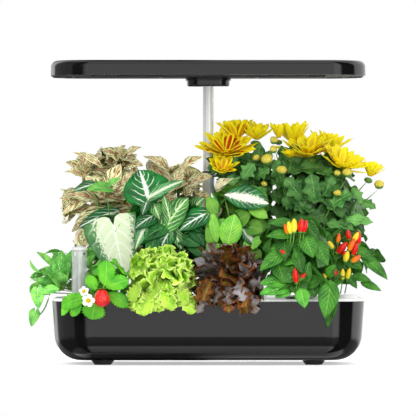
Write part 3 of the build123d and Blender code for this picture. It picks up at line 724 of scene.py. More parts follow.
class Mesher:
    """Gathers the blades, stalks and beads of one piece in one mesh, in millimetres."""

    def __init__(self, clearance: Optional[Clearance] = None) -> None:
        """Starts an empty mesh with a map for patterns and a tint on its points.

        Args:
            clearance: keeps its points off the hard pieces, where it is given.
        """
        self.mesh = bmesh.new()
        self.mesh.loops.layers.uv.new("UVMap")
        self.tint_layer = self.mesh.verts.layers.float.new("tint")
        self.clearance = clearance

    def settle(self, vert: bmesh.types.BMVert, spot: Vector, tint: float) -> None:
        """Puts one point where it belongs, clear of the hard pieces.

        Args:
            vert: the point.
            spot: the place that is wanted.
            tint: brightness of its colour.
        """
        if self.clearance:
            spot = self.clearance.keep(spot)
        vert.co = spot * MM
        vert[self.tint_layer] = tint

    def sheet(self, across: int, along: int, place: Place, tint: float = 1.0) -> list:
        """Adds one sheet whose points follow a rule.

        Args:
            across: number of faces across.
            along: number of faces along.
            place: gives a point from its shares across and along.
            tint: tint of all its points.

        Returns:
            The sheet's vertices.
        """
        verts = bmesh.ops.create_grid(
            self.mesh, x_segments=across, y_segments=along, size=0.5, calc_uvs=True)["verts"]
        for vert in verts:
            self.settle(vert, place(vert.co.x + 0.5, vert.co.y + 0.5), tint)
        return verts

    def leaf(self, shape: LeafShape, base: Vector, tip: Vector, half_width: float,
             face: Vector = FRONT, droop: float = 0.6, twist: float = 0.0,
             tint: float = 1.0, phase: float = 0.0) -> None:
        """Adds one leaf that arches from its base to its tip.

        Args:
            shape: the kind of leaf.
            base: where its stalk joins it.
            tip: where its point ends.
            half_width: half of its greatest width.
            face: the way its upper side looks.
            droop: how far it bends over its length, in radians.
            twist: how far it turns about its own line, in radians.
            tint: brightness of its colour.
            phase: start of its waves, so that no two leaves match.
        """
        chord = tip - base
        length = chord.length
        ahead = chord.normalized()
        top = face - ahead * face.dot(ahead)
        if top.length < FLAT_ON:
            top = UP - ahead * UP.dot(ahead)
        top.normalize()
        side = ahead.cross(top)
        bend = droop if abs(droop) > LEAST_BEND else LEAST_BEND
        radius = length / (2.0 * math.sin(bend / 2.0))
        rib_length = radius * bend

        def place(s: float, t: float) -> Vector:
            """Gives a point of the blade.

            Args:
                s: share of the way across.
                t: share of the way along.

            Returns:
                The point.
            """
            a = 2.0 * s - 1.0
            angle = bend / 2.0 - bend * t
            forward = radius * (math.sin(bend / 2.0) - math.sin(angle))
            rise = radius * (math.cos(angle) - math.cos(bend / 2.0))
            run = ahead * math.cos(angle) + top * math.sin(angle)
            normal = top * math.cos(angle) - ahead * math.sin(angle)
            turn = twist * t
            flat = side * math.cos(turn) + normal * math.sin(turn)
            lift = normal * math.cos(turn) - side * math.sin(turn)
            x = a * shape.width(t) * half_width
            lobe = math.sin(math.pi * min(1.0, abs(a) ** 0.5 * shape.heart_bow))
            back = shape.heart * rib_length * lobe * (1.0 - t) ** 2
            edge = abs(a) ** EDGE_POWER
            wave = math.sin(TAU * shape.ruffles * t + phase + (SIDE_PHASE if a > 0 else 0.0))
            wave += FINE_RUFFLE * math.sin(
                TAU * shape.ruffles * FINE_RUFFLES * t + FINE_PHASE * phase)
            z = shape.fold * abs(x) + shape.ruffle * half_width * edge * wave
            z += shape.quilt * half_width * abs(math.sin(
                math.pi * shape.quilts * (t - QUILT_SLANT * abs(a)))) * (1.0 - edge)
            spine = base + ahead * forward + top * rise
            return spine + flat * x + lift * z - run * back

        self.sheet(shape.across, shape.along, place, tint)

    def stalk(self, line: Sequence[Vector], start: float, end: float,
              tint: float = 1.0, sides: int = 6, rings: int = 8) -> None:
        """Adds one round stalk along a soft line.

        Args:
            line: two to four points that shape the line; it starts and ends at the outer two.
            start: radius at its foot.
            end: radius at its tip.
            tint: brightness of its colour.
            sides: faces round it.
            rings: faces along it.
        """
        points = list(line)
        if len(points) == 2:
            points = [points[0], points[0].lerp(points[1], 0.5), points[1]]

        def on_line(t: float) -> Vector:
            """Follows the soft line.

            Args:
                t: share of the way along.

            Returns:
                The place there.
            """
            rest = points
            while len(rest) > 1:
                rest = [a.lerp(b, t) for a, b in zip(rest, rest[1:])]
            return rest[0]

        def place(s: float, t: float) -> Vector:
            """Gives a point of the stalk's skin.

            Args:
                s: share of the way round.
                t: share of the way along.

            Returns:
                The point.
            """
            ahead, behind = on_line(min(1.0, t + LINE_STEP)), on_line(max(0.0, t - LINE_STEP))
            run = (ahead - behind).normalized()
            side = run.cross(NO_STALKS_WAY).normalized()
            other = run.cross(side)
            radius = 0.0 if t in (0.0, 1.0) else lerp(start, end, t)
            turn = TAU * s
            return on_line(t) + (side * math.cos(turn) + other * math.sin(turn)) * radius

        verts = self.sheet(sides, rings, place, tint)
        bmesh.ops.remove_doubles(self.mesh, verts=verts, dist=WELD)

    def bead(self, centre: Vector, axis: Vector, radius: float, length: float,
             profile: Callable[[float], float] = lambda share: 1.0,
             tint: float = 1.0, segments: int = 12, rings: int = 9) -> None:
        """Adds one round body such as a bud, a fruit or a calyx.

        Args:
            centre: its middle.
            axis: the way its tip points.
            radius: its greatest radius.
            length: its length along the axis.
            profile: share of the radius at each share of the length.
            tint: brightness of its colour.
            segments: faces round it.
            rings: faces along it.
        """
        turn = UP.rotation_difference(axis).to_matrix()

        def place(s: float, t: float) -> Vector:
            """Gives a point of the body's skin.

            Args:
                s: share of the way round.
                t: share of the way along.

            Returns:
                The point.
            """
            angle = TAU * s
            around = math.sin(math.pi * t) * radius * profile(t)
            along = -0.5 * math.cos(math.pi * t) * length
            return centre + turn @ at(math.cos(angle) * around, math.sin(angle) * around, along)

        verts = self.sheet(segments, rings, place, tint)
        bmesh.ops.remove_doubles(self.mesh, verts=verts, dist=WELD)

    def piece(self, name: str, body: str, slot: str, finishes: Sequence[Material],
              replaces: str = "", thickness: float = 0.0) -> None:
        """Turns the gathered mesh into a piece that rides on a body.

        Args:
            name: the piece's name.
            body: the CAD body that it moves with.
            slot: not used.
            finishes: its material, and one for its underside where it has another.
            replaces: the CAD node that it stands for.
            thickness: thickness of its sheets in millimetres.
        """
        for face in self.mesh.faces:
            face.smooth = True
        data = bpy.data.meshes.new(name)
        self.mesh.to_mesh(data)
        self.mesh.free()
        made = add_object(name, data)
        for finish in finishes:
            data.materials.append(finish)
        if thickness:
            solid = made.modifiers.new("thickness", "SOLIDIFY")
            solid.thickness = thickness * MM
            solid.offset = 0.0
            solid.material_offset = len(finishes) - 1
        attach(made, body)
        if replaces:
            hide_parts(replaces)
        log.info("%s rides on %s with %d faces", name, body, len(data.polygons))


# ---------- the device
class Device:
    """The rigid garden: tank, deck, post, lamp, gauge, panel, cap, pump and baskets."""

    finishes: dict[str, Finish] = {
        "tank_shell": PlasticFinish("tank_black", srgb(17, 17, 18), 0.06, 0.02, 200.0),
        "feet": PlasticFinish("foot_rubber", srgb(30, 30, 30), 0.6, 0.4),
        "deck": PlasticFinish("deck_white", srgb(250, 252, 248), 0.22, 0.03),
        "post_base": PlasticFinish("trim_black", srgb(34, 34, 36), 0.12, 0.04),
        # the post is almost unmetallic: its near-white colour and coarse darker streaks are a
        # painted reflection of its polished metal
        "post_outer": MetalFinish(
            "post_metal", srgb(250, 254, 255), 0.3, 0.02, 0.08, 260.0, 0.7),
        "post_guide_ring": PlasticFinish("ring_dark", srgb(58, 60, 60), 0.3),
        "post_inner": MetalFinish(
            "post_metal_inner", srgb(250, 254, 255), 0.26, 0.02, 0.08, 300.0, 0.7),
        "lamp_collar": PlasticFinish("collar_black", srgb(30, 30, 32), 0.14, 0.04),
        "lamp_housing": PlasticFinish("lamp_black", srgb(18, 18, 19), 0.08, 0.02, 200.0),
        "lamp_underplate": PlasticFinish("lamp_underside", srgb(40, 40, 42), 0.45, 0.2),
        "lamp_led_board": PlasticFinish("led_board_white", srgb(232, 234, 230), 0.4),
        "lamp_leds": PlasticFinish("led_yellow", srgb(246, 226, 120), 0.25, glow=0.6),
        "lamp_diffuser": ClearFinish("clear_pane", srgb(238, 242, 242), 0.3),
        "lamp_screws": MetalFinish("screw_steel", srgb(180, 182, 184), 0.3),
        "gauge_tube": ClearFinish("gauge_clear", srgb(226, 232, 228), 0.42, 0.16, 0.25),
        "gauge_cap": ClearFinish("gauge_cap_milky", srgb(226, 228, 226), 0.9, 0.3),
        "float_stem": PlasticFinish("float_white", srgb(120, 124, 120), 0.35),
        "control_panel": PlasticFinish("panel_black", srgb(34, 34, 36), 0.1, 0.02),
        "fill_cap": PlasticFinish("cap_white", srgb(240, 242, 239), 0.25, 0.04),
        "pump_body": PlasticFinish("pump_black", srgb(44, 44, 46), 0.4, 0.2),
        "pump_impeller": PlasticFinish("impeller_white", srgb(230, 230, 226), 0.4),
    }
    button_finish = PlasticFinish("button_grey", srgb(140, 144, 146), 0.5, 0.25)
    basket_finish = PlasticFinish("basket_white", srgb(236, 238, 234), 0.35, 0.1)

    def paint(self, node: str, material: Material) -> None:
        """Gives a CAD node its finish through its material slots.

        Args:
            node: the node.
            material: its finish.
        """
        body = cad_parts[node]
        if not body.material_slots:
            body.data.materials.append(material)
        for slot in body.material_slots:
            slot.material = material
        log.info("%s is finished in %s", node, material.name)

    def dress(self) -> None:
        """Finishes every rigid node."""
        for node, finish in self.finishes.items():
            self.paint(node, finish.build())
        button = self.button_finish.build()
        basket = self.basket_finish.build()
        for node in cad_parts:
            if node.startswith("button_"):
                self.paint(node, button)
            if node.startswith("basket_"):
                self.paint(node, basket)


@dataclass
class GrowingPlugs:
    """The twelve foam plugs, each with its planting hole."""

    finish: FoamFinish = FoamFinish("sponge_brown", srgb(74, 54, 38), srgb(34, 24, 18))
    sides: int = 28
    base_share: float = 0.78
    lip_share: float = 0.45
    hole_radius: float = 3.0
    hole_depth: float = 16.0
    roughness: float = 0.35
    lumps: float = 0.35

    def build(self) -> None:
        """Makes one plug for each basket."""
        material = self.finish.build()
        for number in range(1, 13):
            node = f"sponge_{number:02d}"
            low, high = node_box(node)
            self.plug(node, low, high, f"pod_{number:02d}", material)

    def plug(self, node: str, low: Vector, high: Vector, body: str,
             material: Material) -> None:
        """Makes one plug in the space of its CAD node.

        Args:
            node: the CAD node.
            low: its lowest corner.
            high: its highest corner.
            body: the body that it rides on.
            material: its foam.
        """
        radius = (high.x - low.x) / 2
        made = Mesher()
        cone = bmesh.ops.create_cone(
            made.mesh, cap_ends=True, segments=self.sides, radius1=radius * self.base_share,
            radius2=radius, depth=high.z - low.z)
        bmesh.ops.translate(made.mesh, verts=cone["verts"], vec=(low + high) / 2)
        lid = max(made.mesh.faces, key=lambda face: face.calc_center_median().z)
        lip = radius * self.lip_share
        for inset in (lip, radius - lip - self.hole_radius):
            bmesh.ops.inset_region(made.mesh, faces=[lid], thickness=inset)
        floor = bmesh.ops.extrude_discrete_faces(made.mesh, faces=[lid])["faces"][0]
        bmesh.ops.translate(made.mesh, verts=floor.verts, vec=(0, 0, -self.hole_depth))
        for vert in made.mesh.verts:
            shake = noise.noise_vector(vert.co * self.lumps) * self.roughness
            vert.co = (vert.co + shake) * MM
        made.piece(f"growing_plug_{node[-2:]}", body, "sponge_brown", [material], node)


# ---------- plants
Spot = Sequence[float]
# lengths in millimetres, a count of tries and a share
PLANTING_DEPTH = 1.5
BARE_RING = 10.0
SKIN_TRIES = 1800
TRUNK_LEAN = 0.6


@dataclass
class Plant:
    """One planted pod: its node, its place and the space that it fills, in millimetres."""

    node: str
    pod_number: int
    slot: str
    seed: int = 1
    slack_left: float = 2.5
    slack_right: float = 2.5

    def __post_init__(self) -> None:
        """Works out where the plant stands and the space that it may fill."""
        low, high = node_box(f"sponge_{self.pod_number:02d}")
        self.foot = at((low.x + high.x) / 2, (low.y + high.y) / 2, high.z - PLANTING_DEPTH)
        self.low, self.high = node_box(self.node)
        self.low -= at(self.slack_left, 1, 1)
        self.high += at(self.slack_right, 1, 1)
        self.body = f"pod_{self.pod_number:02d}"
        self.dice = random.Random(self.seed)
        self.clearance = Clearance(self.foot, *self.space())

    def space(self) -> tuple[Vector, Vector]:
        """Gives the lowest and highest corners of the space that the plant may fill."""
        return self.low.copy(), self.high.copy()

    def mesher(self) -> Mesher:
        """Starts a mesh that keeps clear of the hard pieces."""
        return Mesher(self.clearance)

    def spread(self, amount: float) -> float:
        """Gives a random value between minus and plus an amount."""
        return self.dice.uniform(-amount, amount)

    def wave(self) -> float:
        """Gives a random start for the waves of one leaf."""
        return self.dice.uniform(0.0, 6.28)

    def name(self, part: str) -> str:
        """Names one piece of this plant."""
        return f"{self.node.removeprefix('plant_')}_{part}"

    def put(self, mesh: Mesher, part: str, finish: Finish, thickness: float = 0.0,
            replaces: str = "") -> None:
        """Turns one gathered mesh into a piece of this plant.

        Args:
            mesh: the mesh.
            part: what the piece is called after the plant's own name.
            finish: its finish.
            thickness: thickness of its sheets.
            replaces: the CAD node that it stands for.
        """
        mesh.piece(self.name(part), self.body, self.slot, [finish.build()], replaces, thickness)

    def root_line(self, end: Vector, rise: float = 25.0) -> list[Vector]:
        """Draws a soft line from the plug to a point.

        Args:
            end: the point.
            rise: how far the line climbs before it leans out.

        Returns:
            The four places that shape it.
        """
        start = self.foot + at(self.spread(2.0), self.spread(2.0), 0)
        knee = start.lerp(end, 0.35)
        knee.z = max(start.z + rise, lerp(start.z, end.z, 0.6))
        return [start, start + UP * rise * 0.6, knee, end]

    def trunk(self, height: float) -> Vector:
        """Follows the plant's main stem.

        Args:
            height: a height on it.

        Returns:
            Its place there.
        """
        middle = (self.low + self.high) / 2
        lean = TRUNK_LEAN * smooth(self.foot.z, self.high.z, height)
        return at(lerp(self.foot.x, middle.x, lean), lerp(self.foot.y, middle.y, lean), height)

    def skin(self, spacing: float, lowest: float, highest: float) -> list[tuple[Vector, Vector]]:
        """Finds places on the plant's CAD outline, each with the way out of the plant.

        Args:
            spacing: least distance between two places.
            lowest: height of the lowest place.
            highest: height of the highest place.

        Returns:
            Pairs of a place and a direction.
        """
        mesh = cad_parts[self.node].data
        mesh.calc_loop_triangles()
        faces = list(mesh.loop_triangles)
        sums = list(accumulate(face.area for face in faces))
        found: list[tuple[Vector, Vector]] = []
        for face in self.dice.choices(faces, cum_weights=sums, k=SKIN_TRIES):
            corners = [mesh.vertices[index].co / MM for index in face.vertices]
            first, second = sorted((self.dice.random(), self.dice.random()))
            shares = (first, second - first, 1.0 - second)
            place = corners[0] * shares[0] + corners[1] * shares[1] + corners[2] * shares[2]
            from_stem = math.hypot(place.x - self.foot.x, place.y - self.foot.y)
            if not lowest < place.z < highest or from_stem < BARE_RING:
                continue
            if all((place - other).length > spacing for other, _ in found):
                found.append((place, face.normal.copy()))
        return found


@dataclass
class Lettuce(Plant):
    """A head of loose, frilled blades."""

    shape: LeafShape = LeafShape(36, 14, 0.72, 0.7, fold=0.1, ruffle=0.26, ruffles=7.0, quilt=0.12)
    top: Optional[LeafFinish] = None
    under: Optional[LeafFinish] = None
    blades: int = 62
    half_width: float = 16.0
    tints: tuple[float, float] = (0.85, 1.3)
    turned_in: float = 0.5
    middle: Spot = (0.0, 0.0, 0.0)
    radii: Spot = (43.0, 43.0, 45.0)
    fringe_from: float = 0.0
    fringe_to: float = 0.0
    fringe_blades: int = 14

    def build(self) -> None:
        """Makes the head with its finishes."""
        mesh = self.mesher()
        self.crown(mesh)
        self.fringe(mesh)
        finishes = [finish.build() for finish in (self.top, self.under) if finish]
        mesh.piece(self.name("blades"), self.body, self.slot, finishes, self.node, 0.4)

    def crown(self, mesh: Mesher) -> None:
        """Adds the head's blades: inner ones stand and outer ones spread.

        Args:
            mesh: the mesh that they go into.
        """
        centre, radii = Vector(self.middle), Vector(self.radii)
        for number in range(self.blades):
            share = (number + 0.5) / self.blades
            turn = number * GOLDEN_TURN + self.spread(0.25)
            climb = lerp(-0.8, 1.3, share) + self.spread(0.15)
            level = at(math.cos(turn), math.sin(turn), 0.0)
            out = level * math.cos(climb) + UP * math.sin(climb)
            tip = centre + out * radii * self.dice.uniform(0.86, 1.08)
            base = (self.foot + UP * (4.0 + 16.0 * share)).lerp(tip, 0.14)
            turned_in = share > 0.25 and self.dice.random() < self.turned_in
            face = level + UP * 0.15 if turned_in else out + UP * lerp(0.9, 0.1, share)
            droop = -self.dice.uniform(0.3, 1.0) if turned_in else lerp(1.3, 0.6, share)
            tint = lerp(*self.tints, self.dice.random()) * lerp(0.9, 1.1, share)
            move = self.clearance.shift((tip,), 3.0)
            mesh.leaf(
                self.shape, base + move * 0.5, tip + move,
                self.half_width * self.dice.uniform(0.75, 1.15), face.normalized(), droop,
                self.spread(0.6), tint, self.wave())

    def fringe(self, mesh: Mesher) -> None:
        """Adds the blades that hang over the rim; every third is turned round to show its underside
        finish, which is partly a painted sheen.

        Args:
            mesh: the mesh that they go into.
        """
        for number in range(self.fringe_blades):
            share = (number + 0.5) / self.fringe_blades
            x = lerp(self.fringe_from, self.fringe_to, share) + self.spread(4.0)
            tip = at(x, self.low.y + 5.0, self.dice.uniform(63.0, 82.0))
            root = at(lerp(x, self.middle[0], 0.35), -98, tip.z + self.dice.uniform(24.0, 38.0))
            face = (FRONT + UP * 0.5 + at(self.spread(0.5), 0, 0)).normalized()
            way = -1.0 if self.under and number % 3 == 1 else 1.0
            mesh.leaf(
                self.shape, root, tip, self.half_width * self.dice.uniform(0.6, 0.9), face * way,
                1.3 * way, self.spread(1.2), lerp(*self.tints, self.dice.random()) * 0.85,
                self.wave())


@dataclass
class LeafyPlant(Plant):
    """A plant with single leaves on stalks."""

    leaf_shape: LeafShape = LeafShape()
    leaf_finish: Optional[LeafFinish] = None
    stalk_finish: LeafFinish = LeafFinish(
        "stalk_green", srgb(120, 168, 74), srgb(84, 132, 50), srgb(140, 184, 96))

    def __post_init__(self) -> None:
        """Starts the meshes that every leafy plant has."""
        super().__post_init__()
        self.leaves = self.mesher()
        self.stalks = self.mesher()

    def grow(self, base: Spot, tip: Spot, half_width: float, face: Vector = FRONT,
             droop: float = 0.5, tint: float = 1.0, stalk: float = 0.9, rise: float = 20.0,
             shape: Optional[LeafShape] = None, mesh: Optional[Mesher] = None) -> None:
        """Adds one leaf with its stalk from the plug.

        Args:
            base: where the stalk joins the leaf.
            tip: the leaf's point.
            half_width: half of its greatest width.
            face: the way its upper side looks.
            droop: how far it bends over its length.
            tint: brightness of its colour.
            stalk: radius of its stalk, or 0 for none.
            rise: how far the stalk climbs before it leans out.
            shape: its kind where it isn't the plant's usual one.
            mesh: the mesh it goes into where it isn't the plant's usual one.
        """
        base, tip = Vector(base), Vector(tip)
        (mesh or self.leaves).leaf(
            shape or self.leaf_shape, base, tip, half_width, face, droop, 0.0,
            tint * self.dice.uniform(0.93, 1.07), self.wave())
        if stalk:
            self.stalks.stalk(self.root_line(base, rise), stalk * 1.4, stalk * 0.8, tint)

    def clothe(self, spacing: float, length: float, half_width: float, tint: float = 0.8,
               lowest: float = 96.0, highest: float = 400.0, hang: float = 0.8,
               droop: float = 0.8, inset: float = 3.0, behind: float = 0.0,
               shape: Optional[LeafShape] = None, mesh: Optional[Mesher] = None,
               keep: Callable[[Vector], bool] = lambda place: True) -> None:
        """Covers the plant's outline with leaves that overlap like shingles.

        Args:
            spacing: least distance between two leaves.
            length: usual length of a leaf.
            half_width: usual half width of a leaf.
            tint: usual brightness.
            lowest: height of the lowest leaf.
            highest: height of the highest leaf.
            hang: how far the tips point down, 0 for sideways and -1 for up.
            droop: how far a leaf bends.
            inset: how far inside the outline the leaves lie; the leaves that lie deeper get a
                darker tint, a painted shade.
            behind: how much deeper they lie on the front, behind the leaves that show there, and
                how much darker their tint is there, a painted shade.
            shape: their kind where it isn't the plant's usual one.
            mesh: the mesh they go into where it isn't the plant's usual one.
            keep: tells whether a place may take a leaf.
        """
        for place, out in self.skin(spacing, lowest, highest):
            if not keep(place):
                continue
            level = at(out.x, out.y, 0.15 * out.z)
            if level.length < 0.2:
                level = at(self.spread(1.0), self.spread(1.0), 0)
            level.normalize()
            side = level.cross(UP) * self.spread(1.5)
            ahead = (side + level * 0.5 - UP * (hang + self.spread(0.6))).normalized()
            reach = length * self.dice.uniform(0.65, 1.2)
            depth = self.dice.uniform(-0.5, 2.2)
            seen = smooth(0.2, 0.7, -out.y)
            middle = place - out * (inset * depth + behind * seen)
            base = middle - ahead * reach * 0.55 - level * 3.0
            tip = middle + ahead * reach * 0.45
            move = self.clearance.shift((base, tip), half_width * 0.6)
            base, tip = base + move, tip + move
            face = (out + UP * 0.45 + level * 0.4).normalized()
            # a random tone, darkened on the deeper leaves and on the set-back leaves in front:
            # painted shade
            shade = tint * self.dice.uniform(0.72, 1.22) * (1.16 - 0.2 * depth)
            shade *= lerp(1.0, 1.0 - 0.04 * behind, seen)
            (mesh or self.leaves).leaf(
                shape or self.leaf_shape, base, tip, half_width * self.dice.uniform(0.8, 1.15),
                face, droop, self.spread(0.5), shade, self.wave())
            foot = self.trunk(max(self.foot.z + 4.0, base.z - 26.0))
            self.stalks.stalk([foot, foot.lerp(base, 0.6) + UP * 2.0, base], 0.9, 0.6, 0.8, 5, 5)

    def stem(self, top: float, radius: float = 2.0, tint: float = 0.9) -> None:
        """Adds the main stem that the leaf stalks grow from.

        Args:
            top: height of its top.
            radius: radius at its foot.
            tint: brightness of its colour.
        """
        stops = [self.trunk(lerp(self.foot.z, top, share)) for share in (0.0, 0.33, 0.66, 1.0)]
        stops[0].z -= 4.0
        self.stalks.stalk(stops, radius, radius * 0.5, tint, 8, 14)

    def finish(self) -> None:
        """Turns the plant's meshes into pieces."""
        self.put(self.leaves, "leaves", self.leaf_finish, 0.35, self.node)
        self.put(self.stalks, "stalks", self.stalk_finish)


class Strawberry(LeafyPlant):
    """Toothed leaves, one berry and two blossoms that hang over the rim."""

    def space(self) -> tuple[Vector, Vector]:
        """Keeps the leaves inside the plant's own column."""
        return self.low + at(0, -1, 0), self.high

    def build(self) -> None:
        """Makes the plant."""
        for base, tip, width, droop, tint in (
            ((-129.5, -114, 100.5), (-128, -104, 133), 12, 0.5, 1.05),
            ((-128.6, -115, 98.9), (-100, -110, 108.5), 10.8, 0.5, 1),
            ((-127, -113, 92), (-100, -116, 75), 10, 0.5, 0.72),
            ((-141, -112, 95), (-152, -106, 114), 8, 0.4, 0.95),
            ((-150, -116, 88), (-187, -113, 75), 10.5, 0.5, 0.86),
            ((-141, -117, 84), (-146.5, -113, 59), 15, 0.5, 0.8),
            ((-160, -118, 82), (-172, -114, 63), 7, 0.4, 0.95),
            ((-172, -118, 80), (-188, -113, 64), 6, 0.4, 1.1),
        ):
            self.grow(base, tip, width, at(0.1, -1, 0.45), droop, tint, 0.8, 26.0)
        self.clothe(14.0, 26.0, 11.0, 0.78, 94.0, 130.0, 0.3,
                    keep=lambda place: place.x > -146 and place.y > -106)
        self.finish()
        self.berry(at(-133.4, -124, 86))
        self.blossoms()

    def berry(self, centre: Vector) -> None:
        """Makes the berry and its green cap.

        Args:
            centre: the berry's middle.
        """
        fruit = self.mesher()
        fruit.bead(centre, at(0.06, -0.12, -1), 11.2, 23.2,
                   lambda t: 1.0 - 0.18 * t - 0.12 * math.sin(TAU * t), 1.0, 24, 18)
        self.put(fruit, "berry", FruitFinish(
            "berry_red", srgb(222, 34, 30), srgb(206, 20, 24), 0.25, srgb(238, 120, 60)))
        cap = self.mesher()
        for number in range(7):
            turn = number * TAU / 7
            out = at(math.cos(turn), math.sin(turn), 0.05)
            cap.leaf(LeafShape(6, 4, 0.35), centre + UP * 10.6, centre + UP * 11.2 + out * 8.5,
                     2.6, UP, 0.6, 0.0, 0.95)
        cap.stalk([centre + UP * 10.5, centre + at(4, 6, 20), self.foot + UP * 26, self.foot],
                  1.0, 1.3)
        self.put(cap, "berry_cap", LeafFinish(
            "berry_cap_green", srgb(104, 176, 46), srgb(70, 140, 30), srgb(150, 200, 90)), 0.3)

    def blossoms(self) -> None:
        """Makes the two white blossoms and their stalks."""
        petals, hearts, stems = self.mesher(), self.mesher(), self.mesher()
        for centre, radius, turn_start in (
            (at(-156, -126, 94.4), 6.4, 0.2), (at(-150.5, -129, 82.6), 8.6, 0.6)
        ):
            axis = at(0.05, -1.0, 0.25).normalized()
            side = axis.cross(UP).normalized()
            other = side.cross(axis)
            for number in range(5):
                turn = turn_start + number * TAU / 5
                out = side * math.cos(turn) + other * math.sin(turn)
                petals.leaf(LeafShape(7, 6, 0.62, 0.55, foot=0.1, fold=0.12), centre + out * 1.6,
                            centre + out * radius + axis * 0.8, radius * 0.4, axis, 0.5, 0.0, 0.0)
            hearts.bead(centre + axis * 1.0, axis, radius * 0.36, radius * 0.5)
            stems.stalk([centre - axis * 0.5, centre + at(4, 8, 8), self.foot + UP * 26,
                         self.foot], 0.7, 1.0)
        self.put(petals, "blossoms", PetalFinish(
            "blossom_white", srgb(250, 250, 244), srgb(236, 240, 220), srgb(240, 240, 200)), 0.3)
        self.put(hearts, "blossom_hearts", FoamFinish(
            "blossom_yellow", srgb(232, 208, 40), srgb(180, 150, 20)))
        self.put(stems, "flower_stalks", self.stalk_finish)


class Pepper(LeafyPlant):
    """Pointed leaves and small upright fruit in red, orange and yellow."""

    red = FruitFinish("pepper_red", srgb(226, 28, 12), srgb(210, 12, 8))
    orange = FruitFinish("pepper_orange", srgb(250, 150, 16), srgb(246, 90, 10))
    yellow = FruitFinish("pepper_yellow", srgb(246, 226, 60), srgb(250, 214, 30))

    def fruits(self, rows: Sequence[tuple]) -> None:
        """Makes the fruits, one piece for each colour, and their green caps.

        Args:
            rows: finish, foot, lean sideways, length and radius of each fruit.
        """
        meshes = {}
        caps = self.mesher()
        for finish, spot, lean, length, radius in rows:
            foot = Vector(spot)
            mesh = meshes.setdefault(finish, self.mesher())
            axis = at(math.sin(lean), -0.15, math.cos(lean)).normalized()
            mesh.bead(foot + axis * length / 2, axis, radius, length,
                      lambda t: 1.08 - 0.45 * t**2, self.dice.uniform(0.95, 1.08), 12, 10)
            caps.bead(foot + axis * 0.5, axis, radius * 0.72, 3.4, tint=0.9)
            caps.stalk([foot, foot + at(0, 2, -8), foot + at(-3, 8, -20)], 0.8, 0.8)
        for finish, mesh in meshes.items():
            self.put(mesh, finish.name, finish)
        self.put(caps, "fruit_caps", LeafFinish(
            self.name("cap_green"), srgb(110, 168, 60), srgb(70, 130, 34), srgb(140, 190, 90)))


class FrontPepper(Pepper):
    """The pepper of the front row, whose lower leaves hang over the rim."""

    def build(self) -> None:
        """Makes the plant."""
        # the tints vary each leaf's tone; the low ones on the set-back leaves are painted shade
        for base, tip, width, droop, tint in (
            ((106.8, -100, 179), (77, -112, 179), 7.5, 0.6, 0.95),
            ((109, -102, 165), (72, -114, 163), 8, 0.6, 1.02),
            ((101, -104, 147), (63, -118, 119), 10, 0.5, 1),
            ((100, -100, 152), (78, -108, 146), 8, 0.6, 1.05),
            ((121.4, -108, 163.6), (132, -116, 136), 11.5, 0.5, 1),
            ((134, -106, 158), (150.6, -112, 126), 10.5, 0.5, 0.85),
            ((110, -108, 146), (118, -114, 116), 9, 0.5, 0.68),
            ((105, -112, 99.6), (62, -121, 90), 9.5, 0.4, 1.75),
            ((103, -113, 97), (84, -121, 86), 8, 0.4, 1.7),
            ((98, -108, 106), (64, -116, 104), 9, 0.4, 1.5),
            ((116, -115, 98), (121.4, -120, 73), 9.6, 0.4, 1.65),
            ((122, -108, 100), (146, -110, 112), 9, 0.6, 0.72),
            ((120, -108, 102), (128, -112, 132), 8, 0.6, 0.78),
            ((130, -106, 104), (134, -110, 86), 9, 0.5, 0.7),
            ((150, -104, 112), (160, -112, 128), 7, 0.5, 1.05),
            ((155, -112, 108), (147, -118, 59.5), 13.5, 0.4, 1.02),
            ((157, -108, 96), (150, -112, 48), 9, 0.4, 0.62),
            ((97, -104, 131), (108, -116, 129), 7, 0.4, 1.7),
            ((100, -104, 112), (76, -112, 124), 8, 0.5, 1.5),
            ((100, -104, 104), (70, -112, 108), 8, 0.5, 1.1),
        ):
            self.grow(base, tip, width, at(0.0, -1, 0.6), droop, tint, 0.8, 24.0)
        self.stem(168.0, 2.4)
        self.clothe(17.0, 36.0, 12.5, 0.8, 94.0, 182.0, behind=6.0)
        self.finish()
        red, orange, yellow = self.red, self.orange, self.yellow
        self.fruits((
            (yellow, (104, -116, 166), -0.2, 17, 3.6), (yellow, (108, -118, 168), 0, 18, 4.4),
            (orange, (100.5, -112, 166), -0.35, 14, 3),
            (red, (116, -118, 168), 0.08, 18, 4.4), (red, (120, -116, 168), 0.22, 17, 3.6),
            (red, (111, -116, 104), -0.12, 20, 4), (red, (115, -112, 108), 0.7, 12, 3),
            (red, (97, -112, 140), -0.8, 9, 3.2),
        ))


